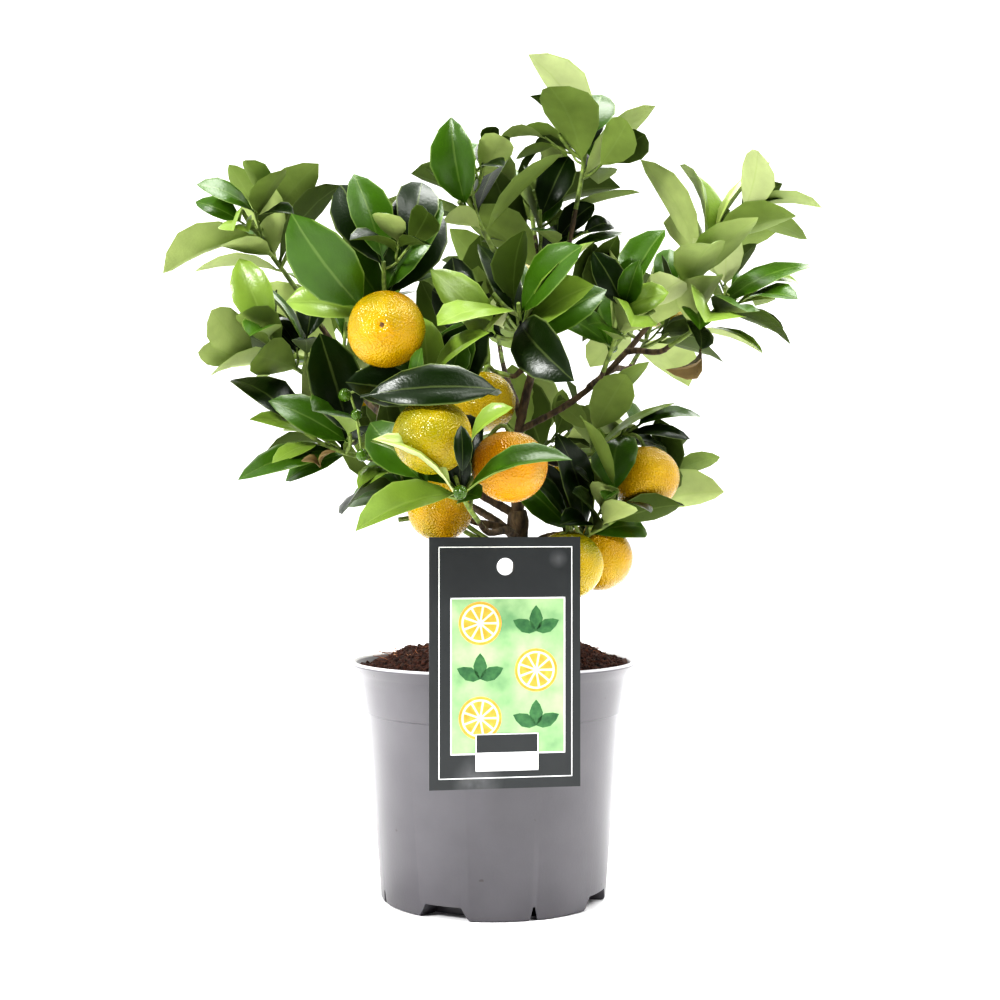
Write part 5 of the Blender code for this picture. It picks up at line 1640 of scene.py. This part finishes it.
for stage, points in hung.items():
    fruit = sown(f"fruit_{stage}", points, fruit_shapes, peels[stage])
    fruit.data.shade_smooth()
    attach(fruit, "root")

# %% [markdown]
# The green star at the stalk is what is left of the flower's sepals, and the brown speck at the other
# end is where its style fell off. Both are a small closed star with five lobes.


# %% Caps and scars
def star(seed):
    """Verts and faces of a flat closed star with five lobes, 1 m across."""
    rng = random.Random(f"star {seed}")
    verts = [(0.0, 0.0, 0.14)]
    for k in range(10):
        radius = rng.uniform(0.44, 0.52) if k % 2 else rng.uniform(0.26, 0.32)
        angle = math.pi * k / 5
        verts.append((radius * math.cos(angle), radius * math.sin(angle), rng.uniform(-0.08, 0.02)))
    verts.append((0.0, 0.0, -0.10))
    faces = []
    for k in range(10):
        a, b = 1 + k, 1 + (k + 1) % 10
        faces += [(0, a, b), (11, b, a)]
    return verts, faces


stars = shape_set("star", [star(k) for k in range(3)])
cap_finish = mottled("sepals", paint(104, 120, 40), paint(150, 160, 70), 0.6, 900)
scar_finish = mottled("style scar", paint(64, 40, 18), paint(110, 76, 34), 0.8, 900)
for name, points, finish in (("fruit_caps", caps, cap_finish), ("fruit_scars", scars, scar_finish)):
    piece = sown(name, points, stars, finish)
    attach(piece, "root")

# %% [markdown]
# ## The label
#
# A plant label is a thin printed plastic card with a hanging hole and a tongue that hooks over the
# rim. The card, its white frame lines and its picture are each a thin slab cut to an outline. The
# picture is a plain repeating design of sliced citrus and sprigs of three leaves on pale green, and
# the plate at its foot is blank. A hand has smeared the card's dark print pale in two places.


# %% Slabs cut to an outline
def on_card(x, z, y):
    """A point of the card's own plane, in the place of the plant."""
    return Matrix.Rotation(math.radians(CARD_YAW), 3, "Z") @ Vector((x, y, z)) + CARD_MIDDLE


def slab(outline, front, back):
    """Verts and faces of a slab between two depths in the card's plane, cut to an outline."""
    count = len(outline)
    verts = [on_card(x, z, y) for y in (front, back) for x, z in outline]
    faces = [tuple(range(count)), tuple(reversed(range(count, 2 * count)))]
    faces += [(k, k + count, (k + 1) % count + count, (k + 1) % count) for k in range(count)]
    return verts, faces


def ring_of(x, z, radius, count, start=0.0, sweep=360.0, flat=1.0):
    """Points on a circle or an arc."""
    steps = count if sweep == 360.0 else count - 1
    angles = [math.radians(start + sweep * k / steps) for k in range(count)]
    return [(x + radius * math.cos(a), z + radius * flat * math.sin(a)) for a in angles]


def printed(name, outlines, level, finish):
    """One piece of all the slabs that are printed in one colour, at its level above the card."""
    front = -CARD_THICK / 2 - 0.00006 * level
    verts, faces = [], []
    for outline in outlines:
        more, sides = slab(outline, front, -CARD_THICK / 2 + 0.0001)
        faces += [tuple(len(verts) + i for i in side) for side in sides]
        verts += more
    piece = add_piece(name, verts, faces, finish)
    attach(piece, "root")
    return piece


print("card middle", tuple(CARD_MIDDLE))

# %% The card and its tongue
HOLE_RADIUS, HOLE_HEIGHT, TONGUE_WIDTH = 0.0042, 0.0463, 0.020
TONGUE_RISE, TONGUE_REACH, TONGUE_HOOK = 0.022, 0.0072, 0.0042
SMEARS, SMEAR_GRAIN = (((-0.0135, -0.0565), 0.013, 0.30), ((0.0260, 0.0500), 0.005, 0.22)), 160
card_finish = mottled("slate print", paint(32, 35, 36), paint(38, 41, 42), 0.38, 60, relief=(300, 0.00003))
half_w, half_h, half_t = CARD_WIDTH / 2, CARD_HEIGHT / 2, CARD_THICK / 2
tree = card_finish.node_tree
place = object_place(tree)
for (x, z), reach, strength in SMEARS:
    away = reckon(tree, "DISTANCE", place, on_card(x, z, -half_t), kind=VECTORS)
    fade = ranged(tree, away, 0.0, reach, strength, 0.0)
    dusty = reckon(tree, "MULTIPLY", fade, clouds(tree, place, SMEAR_GRAIN))
    retint(card_finish, dusty, paint(190, 190, 192))


def box_outline(left, right, low, high):
    """The corners of an upright box on the card."""
    return [(left, low), (right, low), (right, high), (left, high)]


rim = box_outline(-half_w, half_w, -half_h, half_h)
card = add_piece("label_card", *slab(rim, -half_t, half_t), card_finish)
hole = add_piece("hole", *slab(ring_of(0, HOLE_HEIGHT, HOLE_RADIUS, 48), -0.01, 0.01), card_finish)
over_rim = POT_HEIGHT - CARD_MIDDLE[2] + GAP + half_t
inside_rim = -RIM_RADIUS - CARD_MIDDLE[1] + TONGUE_REACH
tongue_path = [
    (half_t, over_rim + TONGUE_RISE), (half_t, over_rim + 0.008), (half_t + 0.0012, over_rim + 0.0025),
    (half_t + 0.0035, over_rim), (inside_rim - 0.0016, over_rim), (inside_rim, over_rim - 0.0014),
    (inside_rim, over_rim - TONGUE_HOOK),
]
tongue_verts, tongue_faces = [], []
for k, (y, z) in enumerate(tongue_path):
    before = tongue_path[max(0, k - 1)]
    after = tongue_path[min(len(tongue_path) - 1, k + 1)]
    run = Vector((after[0] - before[0], after[1] - before[1])).normalized()
    for side in (half_t, -half_t):
        for x in (-TONGUE_WIDTH / 2, TONGUE_WIDTH / 2):
            tongue_verts.append(on_card(x, z + side * run.x, y - side * run.y))
for k in range(len(tongue_path) - 1):
    a, b = 4 * k, 4 * k + 4
    tongue_faces += [(a + n, a + f, b + f, b + n) for n, f in ((0, 1), (1, 3), (3, 2), (2, 0))]
last = 4 * (len(tongue_path) - 1)
tongue_faces += [(0, 2, 3, 1), (last, last + 1, last + 3, last + 2)]
boolean(card, [add_piece("tongue", tongue_verts, tongue_faces, card_finish)], "UNION")
boolean(card, [hole], "DIFFERENCE")
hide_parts("label")
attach(card, "root")
print("card", len(card.data.polygons), "faces")

# %% Frame lines, plate and picture
white_print = mottled("white print", paint(214, 216, 214), paint(232, 233, 230), 0.4, 400)
pale_print = mottled("pale green print", paint(104, 144, 100), paint(168, 194, 146), 0.35, 70)
orange_print = mottled("orange print", paint(226, 132, 40), paint(240, 164, 72), 0.35, 300)
pith_print = mottled("pith print", paint(250, 226, 170), paint(253, 236, 196), 0.35, 300)
leaf_print = mottled("green print", paint(30, 78, 44), paint(66, 116, 66), 0.35, 300)



def frame_lines(left, right, low, high, thick):
    """Four thin bars round a box."""
    return [
        box_outline(left, right, low, low + thick), box_outline(left, right, high - thick, high),
        box_outline(left, left + thick, low, high), box_outline(right - thick, right, low, high),
    ]


PICTURE = (-0.0268, 0.0295, -0.0440, 0.0315)
PLATE = (-0.0146, 0.0162, -0.0520, -0.0340)
printed("label_frame", frame_lines(-0.0325, 0.0330, -0.0555, 0.0560, 0.0005), 1, white_print)
printed("label_picture_edge", frame_lines(*PICTURE, 0.0007), 2, white_print)
printed("label_picture_ground", [box_outline(*PICTURE)], 1, pale_print)
discs, piths, wedges, leaf_cuts = [], [], [], []
left, right, low, high = PICTURE
SLICE_RADIUS, LEAF_CUT = 0.0104, 0.0125
LEAF_OUTLINE = ((0.0, 0.0), (0.2, 0.2), (0.5, 0.27), (0.8, 0.16), (1.0, 0.0))


def leaf_cut(x, z, lean):
    """The outline of a printed leaf that leaves a point at that angle."""
    a = math.radians(lean)
    half = [(s * LEAF_CUT, w * LEAF_CUT) for s, w in LEAF_OUTLINE]
    rim = half + [(s, -w) for s, w in reversed(half[1:-1])]
    return [(x + s * math.cos(a) - w * math.sin(a), z + s * math.sin(a) + w * math.cos(a)) for s, w in rim]


for row in range(3):
    for column in range(2):
        x = left + 0.0145 + column * 0.0274
        z = low + 0.0175 + row * 0.0228
        if (row + column) % 2:
            leaf_cuts += [leaf_cut(x, z - 0.004, lean) for lean in (25, 90, 155)]
            continue
        discs.append(ring_of(x, z, SLICE_RADIUS, 36))
        piths.append(ring_of(x, z, SLICE_RADIUS * 0.88, 36))
        for k in range(9):
            arc = ring_of(x, z, SLICE_RADIUS * 0.78, 6, 40 * k + 4, 32)
            middle = math.radians(40 * k + 20)
            wedges.append([(x + 0.0014 * math.cos(middle), z + 0.0014 * math.sin(middle))] + arc)
printed("label_slices", discs, 2, orange_print)
printed("label_slice_pith", piths, 3, pith_print)
printed("label_slice_flesh", wedges, 4, orange_print)
printed("label_leaf_pairs", leaf_cuts, 2, leaf_print)
printed("label_plate_dark", [box_outline(PLATE[0], PLATE[1], -0.0430, PLATE[3])], 6, card_finish)
printed("label_plate_white", [box_outline(PLATE[0], PLATE[1], PLATE[2], -0.0430)], 6, white_print)
printed("label_plate_edge", frame_lines(*PLATE, 0.0005), 7, white_print)
